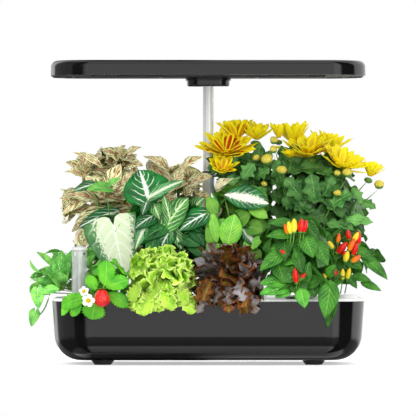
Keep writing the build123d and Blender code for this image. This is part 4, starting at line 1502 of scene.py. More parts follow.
class RightPepper(Pepper):
    """The pepper of the middle row, whose twigs spread over the right end."""

    def build(self) -> None:
        """Makes the plant."""
        # the tints vary each leaf's tone; the low ones on the set-back leaves are painted shade
        for base, tip, width, droop, tint in (
            ((194, -14, 140), (230, -18, 107), 8.5, 0.5, 0.85),
            ((186, -12, 150), (214, -16, 128), 7, 0.5, 0.95),
            ((194.3, -14, 104), (221, -18, 93), 6, 0.5, 0.98),
            ((182, -16, 112), (208, -18, 106), 6.5, 0.5, 1.02),
            ((176, -16, 114), (190, -20, 96), 6, 0.5, 0.9),
            ((172, -18, 110), (150, -24, 98), 8, 0.5, 1),
            ((176, -18, 116), (152, -24, 112), 8, 0.5, 0.85),
            ((160, -12, 150), (134, -20, 160), 12, 0.6, 0.8),
            ((170, -12, 148), (150, -18, 132), 12, 0.6, 0.66),
            ((176, -14, 136), (190, -20, 124), 9, 0.6, 0.78),
            ((158, -10, 136), (148, -20, 118), 8, 0.6, 0.7),
        ):
            self.grow(base, tip, width, at(0.0, -1, 0.6), droop, tint, 0.8, 22.0)
        self.stem(158.0, 2.2)
        self.clothe(15.0, 32.0, 10.5, 0.8, 100.0, 176.0, behind=6.0, keep=lambda place: not (
            place.y < -4 and 152 < place.x < 206 and place.z > 132))
        self.finish()
        red, orange, yellow = self.red, self.orange, self.yellow
        self.fruits((
            (red, (164, -20, 141), 0.75, 20, 4.6), (red, (170, -18, 138), 0.9, 9, 3.4),
            (yellow, (160, -20, 147), -0.7, 14, 3.8), (orange, (165, -16, 154), 0.2, 13, 3),
            (red, (180, -16, 158), -0.15, 14, 3.6), (yellow, (185, -18, 156), 0.5, 14, 3.8),
            (orange, (179, -20, 144), 0.45, 18, 4.2), (red, (184, -20, 138), 0.35, 18, 4),
            (red, (192, -16, 152), 0, 18, 3.6), (yellow, (174, -22, 130), 0.3, 15, 4.2),
            (orange, (182, -22, 130), 1, 15, 3.8), (red, (163, -20, 108), -0.15, 16, 3.8),
            (yellow, (171, -20, 107), 0.05, 15, 3.4), (yellow, (177, -18, 108), 0.25, 16, 3.4),
            (yellow, (149, -20, 108), -0.1, 10, 3.4),
        ))


class Syngonium(LeafyPlant):
    """A rosette that leans over the left end, a trailing vine and broad pale leaves."""

    heart_shape = LeafShape(
        18, 14, 0.34, 0.8, foot=0.28, heart=0.42, fold=0.12, ruffle=0.04, ruffles=2.0)
    pale = LeafFinish(
        "leaf_pale_green", srgb(98, 150, 92), srgb(48, 104, 58), srgb(250, 252, 240),
        heart=srgb(214, 228, 190), heart_spread=1.2, heart_speckle=1.3, vein_strength=0.5,
        vein_count=5.0, vein_slope=0.5)
    dark = LeafFinish(
        "leaf_white_heart", srgb(28, 104, 52), srgb(12, 70, 34), srgb(226, 240, 220),
        heart=srgb(214, 232, 206), heart_spread=0.34, heart_speckle=0.5, vein_strength=0.5,
        vein_count=5.0)

    def build(self) -> None:
        """Makes the plant."""
        foot = at(-184.8, 4, 97.3)
        # each row: tip, depth, width and tint; leaves set farther back get lower tints, a painted
        # shade
        for tip, y, width, tint in (
            ((-172.9, 146.9), 6, 5.5, 0.95), ((-180, 141), -4, 6, 1.12), ((-188, 145.3), 8, 7, 0.9),
            ((-193, 136), -8, 8, 1.1), ((-197.7, 141.4), 12, 6.5, 0.82), ((-201.7, 130.9), 0, 7, 1),
            ((-208.9, 124.5), -6, 6, 0.92), ((-205, 118), 16, 7, 0.7), ((-213.7, 118.1), 4, 6, 0.8),
            ((-224.9, 106.9), -4, 5, 0.95), ((-219, 104), 12, 6, 0.7), ((-213.7, 98.9), 0, 5, 0.62),
            ((-220.1, 88.7), -6, 6.5, 1.15), ((-212, 92), 10, 6, 0.75), ((-176, 136), -12, 6, 0.85),
            ((-172, 128), 14, 7, 0.7), ((-178, 118), -14, 7.5, 0.75), ((-192, 112), 18, 8, 0.65),
            ((-190, 120), -12, 8, 0.98), ((-200, 108), -12, 6.5, 0.88),
        ):
            end = at(tip[0], y, tip[1])
            base = foot.lerp(end, 0.3)
            self.leaves.leaf(self.leaf_shape, base, end, width * 1.25, at(-0.25, -1, 0.75), 0.7,
                             self.spread(0.3), tint, self.wave())
            self.stalks.stalk(
                [foot + at(0, y * 0.3, -4), base.lerp(foot, 0.4), base], 0.8, 0.6, tint)
        for number in range(9):
            side = self.spread(7.0)
            start = self.foot + at(self.spread(3), self.spread(3), 0)
            twig = at(-184 - self.spread(6), 4 + side, 91 + self.spread(2.5))
            self.stalks.stalk([start, start + at(-12, 0, 10), start.lerp(twig, 0.6) + UP * 4,
                               twig + UP * 8], 1.1, 0.8, 0.55)
        self.vine()
        pale = self.mesher()
        self.grow(at(-121, -19, 177), at(-108, -20, 113.3), 39.0,
                  at(0, -1, 0.2), 0.25, 1.0, 1.3, 30.0, LeafShape(
                      28, 20, 0.3, 0.55, foot=0.3, heart=0.2, fold=0.03, ruffle=0.03,
                      ruffles=3.0, quilt=0.03), pale)
        self.grow(at(-112, -6, 132), at(-102, -10, 112), 8.0, at(0, -1, 0.3), 0.4, 0.9,
                  0.8, 20.0, mesh=pale)
        self.put(pale, "pale_leaf", self.pale, 0.4)
        dark = self.mesher()
        for base, tip, width, tint in (
            ((-128, 2, 190), (-167, -6, 173), 13, 1), ((-122, 8, 178), (-140, -4, 160), 12, 0.8),
            ((-112, 10, 186), (-103, -2, 170), 9, 0.8), ((-150, 12, 228), (-173, 4, 220), 9, 1),
        ):
            self.grow(
                base, tip, width, at(0, -0.8, 0.7), 0.5, tint, 0.9, 40.0, self.heart_shape, dark)
        self.put(dark, "white_hearted_leaves", self.dark, 0.35)
        self.grow(at(-131, 6, 225), at(-156, -2, 222), 12.0, at(-0.2, -0.7, 0.8), 0.5, 0.9,
                  0.9, 60.0, self.heart_shape)
        self.grow(at(-131, 7, 226), at(-112, 0, 237), 6.0, at(0.2, -0.7, 0.8), 0.3, 1.0,
                  0.0, 60.0)
        self.clothe(13.0, 34.0, 4.6, 0.95, 98.0, 144.0, -0.3,
                    keep=lambda place: place.x > -232 and (place.y > 4 or place.x > -168))
        self.clothe(15.0, 30.0, 12.0, 0.6, 110.0, 186.0, shape=self.heart_shape,
                    keep=lambda place: place.x > -156 and place.y > 0)
        self.finish()

    def vine(self) -> None:
        """Makes the vine that hangs over the left end, with its two leaves."""
        start = at(-186, -2, 94)
        self.stalks.stalk([start, at(-204, -4, 96), at(-203.3, -6, 86.1)], 1.0, 0.8, 1.1)
        self.stalks.stalk([at(-203.3, -6, 86.1), at(-207.3, -7, 73), at(-212, -7, 62),
                           at(-221, -7, 60)], 0.9, 0.7, 1.1)
        self.stalks.stalk([at(-206, -6, 76), at(-212, -5, 66), at(-220, -6, 57)], 0.7, 0.6, 1.0)
        self.leaves.leaf(self.heart_shape, at(-218, -8, 91), at(-217, -9, 70), 9.0,
                         at(-0.1, -1, 0.1), 0.3, 0.0, 1.35)
        self.leaves.leaf(self.heart_shape, at(-222, -8, 64), at(-226, -9, 47.5), 7.5,
                         at(-0.2, -1, 0.1), 0.3, 0.0, 1.1)
        self.leaves.leaf(self.leaf_shape, at(-190, -6, 96), at(-216, -10, 90), 7.0,
                         at(-0.2, -1, 0.6), 0.5, 0.0, 1.5)


class Caladium(LeafyPlant):
    """Broad leaves with white veins on long stalks."""

    veined = LeafFinish(
        "leaf_white_veined", srgb(72, 146, 54), srgb(26, 96, 32), srgb(216, 232, 190),
        vein_strength=0.7, vein_width=0.08, vein_count=6.0, vein_slope=0.45, rib_width=0.1,
        heart=srgb(176, 212, 138), heart_spread=0.42, heart_speckle=0.7)
    dark = LeafFinish(
        "leaf_dark_white_rib", srgb(22, 112, 44), srgb(10, 74, 30), srgb(240, 248, 232),
        vein_strength=0.7, vein_width=0.05, vein_count=5.5, vein_slope=0.5, vein_reach=0.72,
        rib_width=0.14, heart=srgb(196, 226, 190), heart_spread=0.2, heart_speckle=0.45)
    pale = LeafFinish(
        "leaf_pale_variegated", srgb(80, 160, 82), srgb(34, 110, 50), srgb(246, 250, 236),
        heart=srgb(204, 224, 184), heart_spread=0.72, heart_speckle=1.0, vein_strength=0.6)
    plain = LeafFinish(
        "leaf_dark_plain", srgb(40, 122, 48), srgb(16, 82, 32), srgb(120, 184, 104),
        vein_strength=0.5, vein_width=0.04, vein_count=5.0, vein_slope=0.5)
    broad = LeafShape(
        18, 14, 0.4, 0.75, foot=0.2, heart=0.3, fold=0.14, ruffle=0.05, ruffles=2.5, quilt=0.04)

    def build(self) -> None:
        """Makes the plant."""
        dark, pale, plain = self.mesher(), self.mesher(), self.mesher()
        front = at(0, -0.85, 0.6)
        # the tints vary each leaf's tone, and the low ones on the lower, set-back plain leaves are
        # painted shade
        for base, tip, width, tint, mesh in (
            ((-77, -20, 214), (-88, -10, 247), 31, 1.3, dark),
            ((-76, -21, 212), (-84, -25, 190), 9, 0.8, dark),
            ((-74, -22, 213), (-30, -24, 234), 9, 1.05, pale),
            ((-52, -24, 180), (-25, -22, 212), 18, 1.15, None),
            ((-48, -24, 181), (-57, -24, 216), 9, 1.05, None),
            ((-20, -10, 196), (-5, -18, 212), 11, 1.05, None),
            ((-6, -25, 190), (-37, -26, 170), 15, 1.1, dark),
            ((-72, -20, 188), (-94, -24, 172), 12, 0.8, dark),
            ((-58, -24, 174), (-84, -26, 158), 12, 0.9, plain),
            ((-50, -25, 168), (-62, -26, 144), 13, 0.85, dark),
            ((-44, -26, 170), (-34, -27, 146), 8, 1.1, None),
            ((-82, -22, 172), (-93, -24, 146), 7, 1, pale),
            ((-34, -22, 162), (-10, -26, 150), 13, 0.7, plain),
            ((-58, -24, 156), (-46, -26, 134), 11, 0.7, plain),
            ((-70, -18, 204), (-62, -24, 184), 9, 1.05, None),
            ((-68, -24, 160), (-76, -26, 138), 10, 0.8, plain),
            ((-24, -18, 182), (-8, -24, 168), 10, 0.7, plain),
            ((-18, -20, 172), (-4, -24, 150), 10, 0.7, plain),
            ((-20, -22, 152), (-4, -25, 134), 10, 0.6, plain),
        ):
            self.grow(base, tip, width, front, 0.5, tint, 1.2, 50.0, self.broad, mesh)
        self.clothe(22.0, 44.0, 17.0, 0.75, 118.0, 232.0, behind=14.0, shape=self.broad,
                    mesh=plain, keep=lambda place: place.z < 190)
        self.put(plain, "plain_leaves", self.plain, 0.35)
        self.put(dark, "dark_leaves", self.dark, 0.35)
        self.put(pale, "pale_leaves", self.pale, 0.35)
        self.sprig()
        self.finish()

    def sprig(self) -> None:
        """Makes the herb sprig with narrow leaves in front of the stem."""
        sprig = self.mesher()
        foot, top = at(-34, -14, 96), at(-31, -25, 168)
        sprig.stalk([self.foot, foot, top], 1.0, 0.5)
        pairs = 22
        for number in range(pairs):
            share = 0.35 + 0.65 * number / pairs
            knot = foot.lerp(top, share)
            turn = number * GOLDEN_TURN
            out = at(math.cos(turn), math.sin(turn) * 0.7, 0.45)
            sprig.leaf(LeafShape(6, 4, 0.5), knot, knot + out * lerp(13, 7, share), 1.3, UP, 0.4)
        self.put(sprig, "sprig", LeafFinish(
            "sprig_green", srgb(150, 198, 128), srgb(96, 150, 84), srgb(190, 220, 170)), 0.3)


class Dieffenbachia(LeafyPlant):
    """Smooth light-green leaves and broad white ones with green edges."""

    white = LeafFinish(
        "leaf_white_centre", srgb(38, 122, 56), srgb(18, 84, 38), srgb(252, 254, 244),
        heart=srgb(232, 240, 214), heart_spread=0.92, heart_speckle=1.3, vein_strength=0.3)
    nerve = LeafFinish(
        "leaf_nerve_single", srgb(104, 98, 34), srgb(66, 46, 20), srgb(255, 250, 198),
        srgb(222, 120, 110), veins=Veins.NET, vein_strength=1.0, vein_width=0.2, vein_count=6.0,
        vein_slope=0.6)

    def build(self) -> None:
        """Makes the plant."""
        white, nerve = self.mesher(), self.mesher()
        # the tints vary each leaf's tone, and the low ones on the set-back leaves and the leaves
        # before the post are painted shade
        for base, tip, width, tint, mesh in (
            ((24, -26, 148), (34, -25, 191), 15, 1.2, None),
            ((11, -25, 154), (4, -24, 194), 7, 1.15, None),
            ((10, -22, 164), (20, -20, 186), 8, 0.9, None),
            ((49, -20, 201), (76, -24, 186), 8.5, 1, None),
            ((44, -24, 148), (69, -26, 160), 10.5, 1.2, None),
            ((14, -24, 154), (4, -26, 138), 8, 1, None),
            ((13, -14, 190), (3, -16, 219), 5.5, 1.15, white),
            ((20, -20, 216), (78, -24, 204), 18, 1, white),
            ((10, -22, 190), (-1, -24, 214), 9, 0.7, None),
            ((8, -22, 168), (0, -24, 198), 9, 0.6, None),
            ((6, -24, 150), (-2, -25, 178), 9, 0.8, None),
            ((8, -24, 134), (0, -25, 158), 9, 0.7, None),
            ((8, -22, 114), (-2, -24, 136), 9, 0.6, None),
            ((8, -22, 104), (-2, -24, 118), 9, 0.6, None),
            ((42, -22, 174), (62, -25, 150), 9, 0.85, white),
            ((30, -16, 178), (54, -22, 192), 13, 0.6, None),
            ((46, -18, 176), (70, -24, 170), 13, 0.6, None),
            ((48, -22, 148), (64, -26, 126), 13, 0.6, None),
            ((28, -24, 146), (42, -26, 122), 11, 0.8, None),
        ):
            self.grow(base, tip, width, at(0, -0.9, 0.5), 0.4, tint, 1.3, 46.0, mesh=mesh)
        for base, tip, width, tint in (
            ((9, 6, 222), (41, -2, 248), 9, 1), ((10, 8, 220), (24, 2, 236), 8, 0.8),
            ((12, 4, 206), (6, -8, 184), 9, 0.8),
        ):
            self.grow(base, tip, width, at(0, -0.8, 0.8), 0.7, tint, 1.0, 60.0, mesh=nerve)
        self.put(white, "white_leaves", self.white, 0.35)
        self.put(nerve, "veined_leaves", self.nerve, 0.35)
        self.clothe(20.0, 44.0, 15.0, 0.66, 104.0, 226.0, behind=16.0)
        self.finish()


@dataclass
class NervePlant(LeafyPlant):
    """Olive leaves with cream veins in a net and rosy midribs."""

    heroes: tuple = ()
    shoots: tuple = ()
    spacing: float = 21.0
    low_tip: float = 112.0
    shoot_leaves: int = 8

    def build(self) -> None:
        """Makes the plant."""
        for base, tip, width, droop, tint in self.heroes:
            self.grow(base, tip, width, at(0, -0.7, 0.8), droop, tint, 1.0, 50.0)
        self.stem(self.high.z - 30.0, 2.2, 0.8)
        self.clothe(self.spacing, 54.0, 12.0, 1.0, self.low_tip, self.high.z - 16.0, 0.5, 1.2, 4.0,
                    keep=lambda place: place.x > -152 or place.z < 226)
        for tip, length in self.shoots:
            self.rosette(Vector(tip), length)
        self.finish()

    def rosette(self, top: Vector, length: float) -> None:
        """Adds the leaves that spread from the top of one shoot.

        Args:
            top: the shoot's top.
            length: usual length of its leaves.
        """
        foot = self.trunk(lerp(self.foot.z, top.z, 0.55))
        self.stalks.stalk([foot, foot.lerp(top, 0.5) + UP * 8.0, top - UP * 6.0], 1.8, 1.2, 0.8)
        for number in range(self.shoot_leaves):
            share = number / self.shoot_leaves
            turn = number * GOLDEN_TURN + self.spread(0.3)
            climb = lerp(0.1, 1.0, share)
            out = at(
                math.cos(turn) * math.cos(climb), math.sin(turn) * math.cos(climb), math.sin(climb))
            base = top - UP * lerp(16.0, 5.0, share) + out * 2.0
            tip = base + out * length * self.dice.uniform(0.8, 1.1)
            move = self.clearance.shift((base, tip), 3.0)
            base, tip = base + move, tip + move
            self.leaves.leaf(
                self.leaf_shape, base, tip, length * 0.27,
                (UP * 0.7 + out * 0.4 + FRONT * 0.5).normalized(), 1.3, self.spread(0.5),
                self.dice.uniform(0.8, 1.15), self.wave())


@dataclass
class Head:
    """One flower head: where its petals start, the way it looks and its size."""

    centre: Spot
    axis: Spot
    length: float
    petals: int = 34
    opening: float = 1.25
    flame: float = 0.15
    wide: float = 4.8
    hollow: float = 0.15


@dataclass
class Chrysanthemum(LeafyPlant):
    """Yellow flower heads and buds over dark lobed leaves."""

    heads: tuple = ()
    buds: tuple = ()
    heroes: tuple = ()
    spacing: float = 18.0
    leaf_top: float = 256.0
    petal_shape: LeafShape = LeafShape(12, 4, 0.6, 0.62, foot=0.1, fold=0.22)

    def build(self) -> None:
        """Makes the plant."""
        for base, tip, width, tint in self.heroes:
            self.grow(base, tip, width, at(0, -0.8, 0.6), 0.5, tint, 0.9, 50.0)
        self.stem(self.leaf_top - 20.0, 2.6, 0.75)
        self.clothe(
            self.spacing, 50.0, 18.0, 0.85, 108.0, self.leaf_top, 0.4, behind=4.0, keep=self.in_fan)
        # an inner layer of leaves deep in the foliage at half brightness: painted shade
        self.clothe(28.0, 40.0, 16.0, 0.5, 116.0, self.leaf_top - 10.0, 0.4, inset=16.0,
                    keep=lambda place: place.x < 188)
        petals, cups = self.mesher(), self.mesher()
        for head in self.heads:
            self.head(head, petals, cups)
        buds = self.mesher()
        for centre, radius in self.buds:
            self.bud(Vector(centre), radius, buds, cups)
        self.put(petals, "flowers", PetalFinish(
            "petal_yellow_" + self.body, srgb(255, 240, 30), srgb(255, 214, 10),
            srgb(188, 58, 4), 0.3), 0.3)
        self.put(buds, "buds", FoamFinish(
            "bud_yellow_" + self.body, srgb(240, 228, 110), srgb(190, 170, 40)))
        self.put(cups, "calyxes", LeafFinish(
            "calyx_green_" + self.body, srgb(96, 140, 56), srgb(60, 102, 34),
            srgb(130, 170, 90)))
        self.finish()

    @staticmethod
    def in_fan(place: Vector) -> bool:
        """Tells whether a leaf may grow at a place: the foliage widens with its height."""
        return place.x < (188 + 0.3 * (place.z - 150) if place.z < 222 else 176)

    def head(self, head: Head, petals: Mesher, cups: Mesher) -> None:
        """Adds one flower head with its green cup and stalk.

        Args:
            head: the flower head.
            petals: the mesh of the petals.
            cups: the mesh of the green cups.
        """
        centre = Vector(head.centre)
        axis = Vector(head.axis).normalized()
        side = axis.cross(at(0.3, 0.2, 1)).normalized()
        other = axis.cross(side)
        for number in range(head.petals):
            share = (number + 0.5) / head.petals
            turn = number * GOLDEN_TURN
            lean = head.opening * lerp(head.hollow, 1.0, math.sqrt(share)) + self.spread(0.1)
            around = side * math.cos(turn) + other * math.sin(turn)
            out = axis * math.cos(lean) + around * math.sin(lean)
            face = axis * math.sin(lean) - around * math.cos(lean)
            reach = head.length * lerp(0.7, 1.0, share) * self.dice.uniform(0.9, 1.05)
            room = centre.y - self.low.y - 3.0
            if -out.y * reach > room:
                reach = max(room / -out.y, 12.0)
            petals.leaf(
                self.petal_shape, centre + out * 3.0, centre + out * reach,
                head.wide * self.dice.uniform(0.85, 1.1), face, self.spread(0.35) - 0.1,
                self.spread(0.3), head.flame * self.dice.uniform(0.3, 1.3), self.spread(3.0))
        size = head.length
        cups.bead(
            centre - axis * size * 0.12, axis, size * 0.17, size * 0.26, lambda t: 1.0 + 0.3 * t)
        self.stalks.stalk(self.root_line(centre - axis * 3.0, 90.0), 1.6, 1.1, 0.85, rings=12)

    def bud(self, centre: Vector, radius: float, buds: Mesher, cups: Mesher) -> None:
        """Adds one closed bud with short ribs, its cup and its stalk.

        Args:
            centre: its middle.
            radius: its radius.
            buds: the mesh of the buds.
            cups: the mesh of the green cups.
        """
        axis = at(self.spread(0.3), -0.25, 1.0).normalized()
        made = bmesh.ops.create_uvsphere(buds.mesh, u_segments=16, v_segments=10, radius=1.0)
        turn = UP.rotation_difference(axis).to_matrix()
        for vert in made["verts"]:
            rib = 1.0 + 0.08 * math.cos(8 * math.atan2(vert.co.y, vert.co.x))
            spot = at(vert.co.x * rib, vert.co.y * rib, vert.co.z * 0.82)
            buds.settle(vert, centre + turn @ (spot * radius), 1.0)
        cups.bead(centre - axis * radius * 0.5, axis, radius * 0.92, radius * 1.1)
        self.stalks.stalk(self.root_line(centre - axis * radius, 80.0), 1.3, 0.8, 1.0, rings=12)


# ---------- studio
@dataclass(frozen=True)
class Light:
    """One soft square light: its place and size in metres and its power in watts."""

    name: str
    place: Three
    size: float
    power: float


@dataclass
class Studio:
    """The floor, the lights, the sky and the camera, in metres."""

    camera_place: Three = (-0.0003, -6.5, 0.199)
    view_width: float = 0.5325
    sky_level: float = 0.95
    floor_size: float = 1.5
    aim: Three = (0.0, 0.0, 0.18)
    lights: tuple[Light, ...] = (
        Light("key_light", (-1.8, -3.6, 1.7), 2.2, 72.0),
        Light("fill_light", (2.2, -3.2, 1.3), 2.4, 40.0),
        Light("back_light", (0.4, 2.6, 3.0), 2.6, 52.0),
    )
    # how bright the panels look to gloss, by their bearing in degrees and by their height
    bearings: tuple[tuple[float, float], ...] = (
        (-180, 0.0), (-130, 0.02), (-124, 0.45), (-56, 0.4), (-50, 0.0), (-22, 0.0), (-12, 1.35),
        (20, 1.35), (26, 2.0), (40, 1.8), (46, 0.0), (87, 0.0), (94, 1.8), (180, 2.4),
    )
    heights: tuple[tuple[float, float], ...] = (
        (-1.0, 0.5), (-0.85, 0.4), (-0.75, 0.12), (-0.3, 0.2), (-0.15, 1.0), (0.6, 1.0),
        (0.75, 0.6), (1.0, 0.9),
    )

    def build(self) -> None:
        """Sets up everything around the garden."""
        scene = bpy.context.scene
        scene.view_settings.view_transform = "Standard"
        self.camera(scene)
        self.sky(scene)
        self.floor()
        for light in self.lights:
            self.lamp(light)

    def camera(self, scene: bpy.types.Scene) -> None:
        """Adds the camera, level and square to the front.

        Args:
            scene: the scene that it films.
        """
        data = bpy.data.cameras.new("camera")
        data.sensor_width = 36.0
        data.lens = data.sensor_width * -self.camera_place[1] / self.view_width
        data.clip_end = 60.0
        camera = add_object("camera", data)
        camera.location = self.camera_place
        camera.rotation_euler = (math.pi / 2, 0.0, 0.0)
        scene.camera = camera

    def lamp(self, light: Light) -> None:
        """Adds one soft square light that looks at the garden's middle.

        Args:
            light: the light.
        """
        data = bpy.data.lights.new(light.name, "AREA")
        data.size = light.size
        data.energy = light.power
        lamp = add_object(light.name, data)
        lamp.location = light.place
        aim = Vector(self.aim) - Vector(light.place)
        lamp.rotation_euler = aim.to_track_quat("-Z", "Y").to_euler()
        lamp.visible_glossy = False

    def floor(self) -> None:
        """Adds the pale floor, which keeps the garden's shadow."""
        mesh = bmesh.new()
        bmesh.ops.create_grid(mesh, x_segments=1, y_segments=1, size=self.floor_size / 2)
        data = bpy.data.meshes.new("floor")
        mesh.to_mesh(data)
        mesh.free()
        floor = add_object("floor", data)
        graph = Surface("floor_white")
        tone = graph.mix(graph.noise(3.0), (0.9, 0.9, 0.9), (0.93, 0.93, 0.93))
        seen = graph.add("LightPath")["Is Camera Ray"]
        graph.set(Base_Color=tone, Roughness=0.9, Specular_IOR_Level=0.0,
                  Emission_Color=WHITE, Emission_Strength=graph.times(seen, 0.45))
        data.materials.append(graph.material)
        floor.visible_glossy = False

    def sky(self, scene: bpy.types.Scene) -> None:
        """Sets the surroundings: white to the eye, plain to the surfaces, panelled to gloss.

        Args:
            scene: the scene that they surround.
        """
        world = bpy.data.worlds.new("studio")
        scene.world = world
        world.use_nodes = True
        graph = Graph(world.node_tree)
        way = graph.add("SeparateXYZ", {0: graph.source["Generated"]})
        bearing = graph.math("ARCTAN2", way[0], graph.times(way[1], -1.0))
        gloss = graph.times(
            self.panels(graph, bearing, math.pi, self.bearings),
            self.panels(graph, way[2], 1.0, self.heights))
        path = graph.add("LightPath")
        seen = graph.math("MAXIMUM", path["Is Camera Ray"], path["Is Transmission Ray"])
        level = graph.add("Mix", {
            0: path["Is Glossy Ray"], MIX_LOW: self.sky_level, MIX_HIGH: gloss})[0]
        strength = graph.add("Mix", {0: seen, MIX_LOW: level, MIX_HIGH: 1.0})[0]
        shade = graph.nodes["Background"]
        graph.feed(shade, "Color", WHITE)
        graph.feed(shade, "Strength", strength)

    @staticmethod
    def panels(graph: Graph, value: Socket, limit: float,
               stops: Sequence[tuple[float, float]]) -> Socket:
        """Adds a ramp with the brightness of each panel.

        Args:
            graph: the sky's node graph.
            value: the bearing or height, between minus and plus a limit.
            limit: this limit.
            stops: place and brightness of each panel's edge, from the lowest place.

        Returns:
            The brightness.
        """
        share = graph.add("MapRange", {0: value, 1: -limit, 2: limit})[0]
        colour = graph.add("ValToRGB", {0: share})[0]
        ramp = colour.node.color_ramp
        last_place = stops[-1][0]
        first, last = ramp.elements[0], ramp.elements[-1]
        first.position, last.position = 0.0, 1.0
        for place, level in stops[1:-1]:
            spot = 0.5 + place / (2.0 * last_place)
            ramp.elements.new(spot).color = (level, level, level, 1.0)
        for element, level in ((first, stops[0][1]), (last, stops[-1][1])):
            element.color = (level, level, level, 1.0)
        return colour


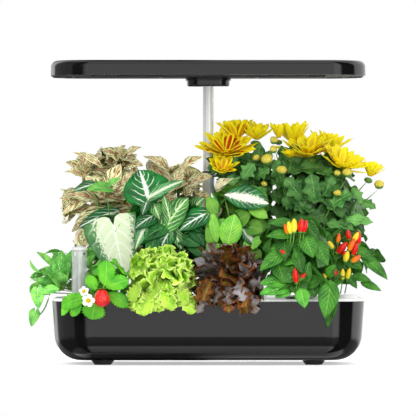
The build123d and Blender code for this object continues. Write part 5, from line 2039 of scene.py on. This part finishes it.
# ---------- the whole garden
def plants() -> list[Plant]:
    """Lists the twelve plants, front row first.

    Returns:
        The plants.
    """
    serrated = LeafShape(36, 8, 0.56, 0.62, teeth=9, tooth_depth=0.3, fold=0.16, quilt=0.05)
    pointed = LeafShape(12, 8, 0.4, 0.9, fold=0.2, ruffle=0.03, ruffles=2.0)
    narrow = LeafShape(12, 6, 0.45, 0.9, fold=0.3)
    oval = LeafShape(14, 10, 0.5, 0.75, fold=0.16, ruffle=0.04, ruffles=2.5)
    nervy = LeafShape(14, 8, 0.42, 0.9, fold=0.2, ruffle=0.06, ruffles=3.0, quilt=0.05)
    lobed = LeafShape(
        22, 8, 0.5, 0.8, lobes=3, lobe_depth=0.42, fold=0.15, ruffle=0.08, ruffles=3.0)
    nerve = LeafFinish(
        "leaf_nerve", srgb(122, 116, 46), srgb(88, 70, 32), srgb(255, 252, 194),
        srgb(244, 100, 100), veins=Veins.NET, vein_strength=1.0, vein_width=0.14, vein_count=4.0,
        vein_slope=0.45, rib_width=0.14)
    mum = LeafFinish("leaf_chrysanthemum", srgb(98, 156, 76), srgb(38, 94, 36), srgb(140, 186, 112),
                     vein_strength=0.3)
    pepper = LeafFinish("leaf_pepper", srgb(70, 142, 40), srgb(28, 92, 24), srgb(128, 194, 84))
    berry_leaf = LeafFinish(
        "leaf_strawberry", srgb(112, 206, 34), srgb(56, 166, 34), srgb(164, 230, 90),
        vein_count=9.0, vein_slope=0.5)
    rosette = LeafFinish(
        "leaf_syngonium", srgb(142, 224, 96), srgb(48, 148, 44), srgb(196, 244, 160))
    light = LeafFinish(
        "leaf_dieffenbachia", srgb(136, 206, 66), srgb(90, 176, 50), srgb(190, 232, 130),
        vein_count=9.0)
    # paler frill edges: partly their own colour, partly a painted highlight
    frill = LeafFinish(
        "leaf_green_lettuce", srgb(196, 240, 74), srgb(148, 214, 44), srgb(220, 248, 130),
        edge=srgb(228, 252, 138))
    oak = LeafFinish(
        "leaf_red_lettuce", srgb(140, 82, 26), srgb(60, 36, 14), srgb(140, 120, 40),
        edge=srgb(104, 46, 24), heart=srgb(88, 116, 26), heart_spread=0.62, heart_speckle=1.2,
        vein_strength=0.2)
    # the underside: partly the back's own greyish colour, partly a painted lilac sheen
    oak_back_and_sheen = LeafFinish(
        "leaf_red_lettuce_back_and_sheen", srgb(146, 146, 150), srgb(80, 60, 38), srgb(140, 130, 96),
        edge=srgb(96, 56, 32), vein_strength=0.3)
    head_one = Head((23, 56, 268), (0, -0.5, 0.88), 48, 34, 1.3, 1.9, 5.6, 0.55)
    return [
        Strawberry("plant_strawberry", 1, "leaf_strawberry", 3, 2.5, 2.5, serrated, berry_leaf),
        Lettuce("plant_green_lettuce", 2, "leaf_green_lettuce", 5, 8.0, 8.0, top=frill,
                middle=(-61, -83, 107), fringe_from=-99.0, fringe_to=-20.0),
        Lettuce("plant_red_lettuce", 3, "leaf_red_lettuce", 8, 12.0, 12.0,
                LeafShape(30, 12, 0.66, 0.7, lobes=4, lobe_depth=0.66, fold=0.15, ruffle=0.24,
                          ruffles=2.6, quilt=0.06),
                oak, oak_back_and_sheen, 66, 14.0, (0.5, 1.6), middle=(25, -83, 110), radii=(52, 43, 49),
                fringe_from=-20.0, fringe_to=62.0),
        FrontPepper("plant_pepper_front", 4, "leaf_pepper", 11, 2.5, 2.5, pointed, pepper),
        Syngonium("plant_syngonium", 5, "leaf_syngonium", 13, 2.5, 8.0, narrow, rosette),
        Caladium("plant_caladium", 6, "leaf_caladium", 17, 14.0, 7.0, oval, Caladium.veined),
        Dieffenbachia("plant_dieffenbachia", 7, "leaf_dieffenbachia", 19, 7.0, 4.0, oval, light),
        RightPepper("plant_pepper_right", 8, "leaf_pepper", 23, 2.5, 2.5, pointed, pepper),
        NervePlant("plant_nerve_left", 9, "leaf_nerve", 29, 2.5, 2.5, nervy, nerve, heroes=(
            ((-140, 44, 206), (-188, 40, 214), 14, 1.2, 0.8),
            ((-136, 50, 250), (-174, 42, 270), 7, 0.9, 1.15),
            ((-129.5, 64, 247.7), (-107, 56, 280), 11, 0.9, 1.1),
            ((-126, 44, 220), (-112, 38, 256), 13, 0.9, 1.1),
            ((-150, 40, 176), (-160, 38, 148), 11, 0.6, 1),
            ((-120, 42, 214), (-96, 38, 246), 11, 0.9, 0.95),
            ((-134, 42, 212), (-160, 38, 240), 12, 0.9, 1),
        ), shoots=(
            ((-111, 60, 266), 36), ((-158, 74, 252), 34), ((-130, 104, 256), 38),
            ((-180, 66, 206), 34), ((-94, 70, 236), 30), ((-128, 66, 240), 36),
        )),
        NervePlant("plant_nerve_right", 10, "leaf_nerve", 31, 8.0, 18.0, nervy, nerve, heroes=(
            ((-50.7, 50, 246), (-84, 44, 266), 9, 1.2, 1.05),
            ((-36, 46, 246), (5, 38, 272), 9, 0.9, 1.1),
            ((-28, 42, 226), (6, 38, 240), 11, 0.9, 0.8),
            ((-22, 42, 206), (4, 38, 214), 12, 0.9, 0.75),
            ((-44, 42, 226), (-30, 38, 250), 10, 0.8, 0.9),
            ((-30, 42, 214), (-14, 38, 232), 10, 0.8, 0.8),
        ), shoots=(
            ((-66, 58, 236), 26), ((-26, 60, 238), 26), ((-44, 74, 236), 26),
        )),
        Chrysanthemum(
            "plant_chrysanthemum_left", 11, "petal_yellow", 37, 6.0, 7.0, lobed, mum, heads=(
            head_one,
            Head((18, 44, 247), (0.05, -0.6, 0.7), 28, 20, 1.15, 0.9, 4.8, 0.4),
            Head((62, 66, 286), (0.12, -0.1, 1), 36, 24, 1.05, 0.05, 5),
            Head((38, 70, 286), (-0.1, 0.1, 1), 40, 26, 0.85, 0.9, 5.2, 0.3),
        ), buds=(
            ((72, 42, 230), 4), ((76, 40, 262), 8), ((62, 50, 264), 5), ((30, 84, 262), 6),
        ), heroes=(
            # the last number of each leaf is its tint; the set-back leaves and rows get low ones, a
            # painted shade
            ((44, 37, 236), (60, 34, 256), 13, 1.25), ((40, 38, 222), (24, 35, 240), 13, 1),
            ((50, 38, 206), (76, 35, 224), 13, 1.1), ((46, 38, 190), (70, 35, 176), 13, 0.8),
            ((60, 44, 236), (80, 38, 250), 10, 1), ((60, 60, 246), (68, 54, 282), 13, 0.8),
            ((46, 60, 240), (48, 54, 274), 12, 0.7), ((72, 62, 238), (80, 56, 274), 13, 0.9),
            *(((60, 58, z), (82, 52, z + 12), 14, 0.65) for z in range(112, 240, 20)),
            *(((66, 88, z), (86, 82, z + 16), 16, 0.5) for z in range(170, 246, 15)),
        )),
        Chrysanthemum(
            "plant_chrysanthemum_right", 12, "petal_yellow", 41, 7.0, 2.5, lobed, mum, heads=(
            Head((130, 62, 264), (-0.05, -0.4, 1), 46, 30, 1.15, 0.8, 5.6, 0.45),
            Head((112, 84, 279), (-0.14, 0.05, 1), 42, 26, 0.8, 0.05, 5.2),
            Head((170, 58, 250), (0.36, -0.4, 0.9), 44, 26, 1.15, 0.25, 5.6, 0.45),
            Head((106, 57, 262), (-0.1, -0.15, 1), 20, 18, 0.8, 0.05, 4.4),
            Head((208, 66, 238), (0.3, -0.1, 0.9), 29, 18, 0.7, 0, 4.8),
            Head((154, 98, 266), (0.2, 0.1, 0.95), 46, 28, 0.9, 0.05, 5.2),
            Head((91, 68, 287), (0.05, 0, 1), 26, 12, 0.45, 0.05, 4.6),
        ), buds=(
            ((94.5, 32, 248), 6.6), ((83.5, 40, 275), 5.4),
            ((84.5, 50, 287), 5.4), ((166, 34, 244), 4.2), ((179, 36, 245), 6.2),
            ((166, 32, 218.4), 5), ((221, 64, 230), 6.2), ((140, 110, 262), 6),
        ), heroes=(
            # the last number of each leaf is its tint; the set-back leaves and rows get low ones, a
            # painted shade
            ((122, 38, 208), (98, 33, 238), 16, 1), ((104, 62, 244), (94, 56, 280), 14, 0.8),
            ((96, 52, 228), (84, 46, 262), 13, 0.95), ((116, 64, 246), (108, 58, 282), 14, 0.65),
            ((138, 38, 204), (132, 32, 244), 16, 0.95), ((152, 40, 198), (186, 34, 218), 14, 1.5),
            ((172, 42, 184), (212, 36, 180), 11, 1.5), ((152, 40, 180), (188, 35, 168), 13, 1.1),
            ((130, 38, 186), (104, 34, 174), 18, 0.75), ((128, 40, 192), (110, 35, 216), 17, 0.8),
            ((196, 54, 208), (216, 48, 198), 9, 1.1), ((186, 50, 226), (198, 44, 204), 8, 1.1),
            ((150, 38, 214), (160, 33, 240), 13, 1), ((112, 38, 200), (94, 34, 210), 14, 0.85),
            *(((102, 56, z), (79, 50, z + 8), 15, 0.65) for z in range(108, 240, 20)),
        )),
    ]


def main() -> None:
    """Builds the studio, the device and the plants, and reports each piece."""
    logging.basicConfig(level=logging.INFO, format="%(message)s")
    Studio().build()
    Device().dress()
    GrowingPlugs().build()
    for plant in plants():
        plant.build()


if __name__ == "__main__":
    main()
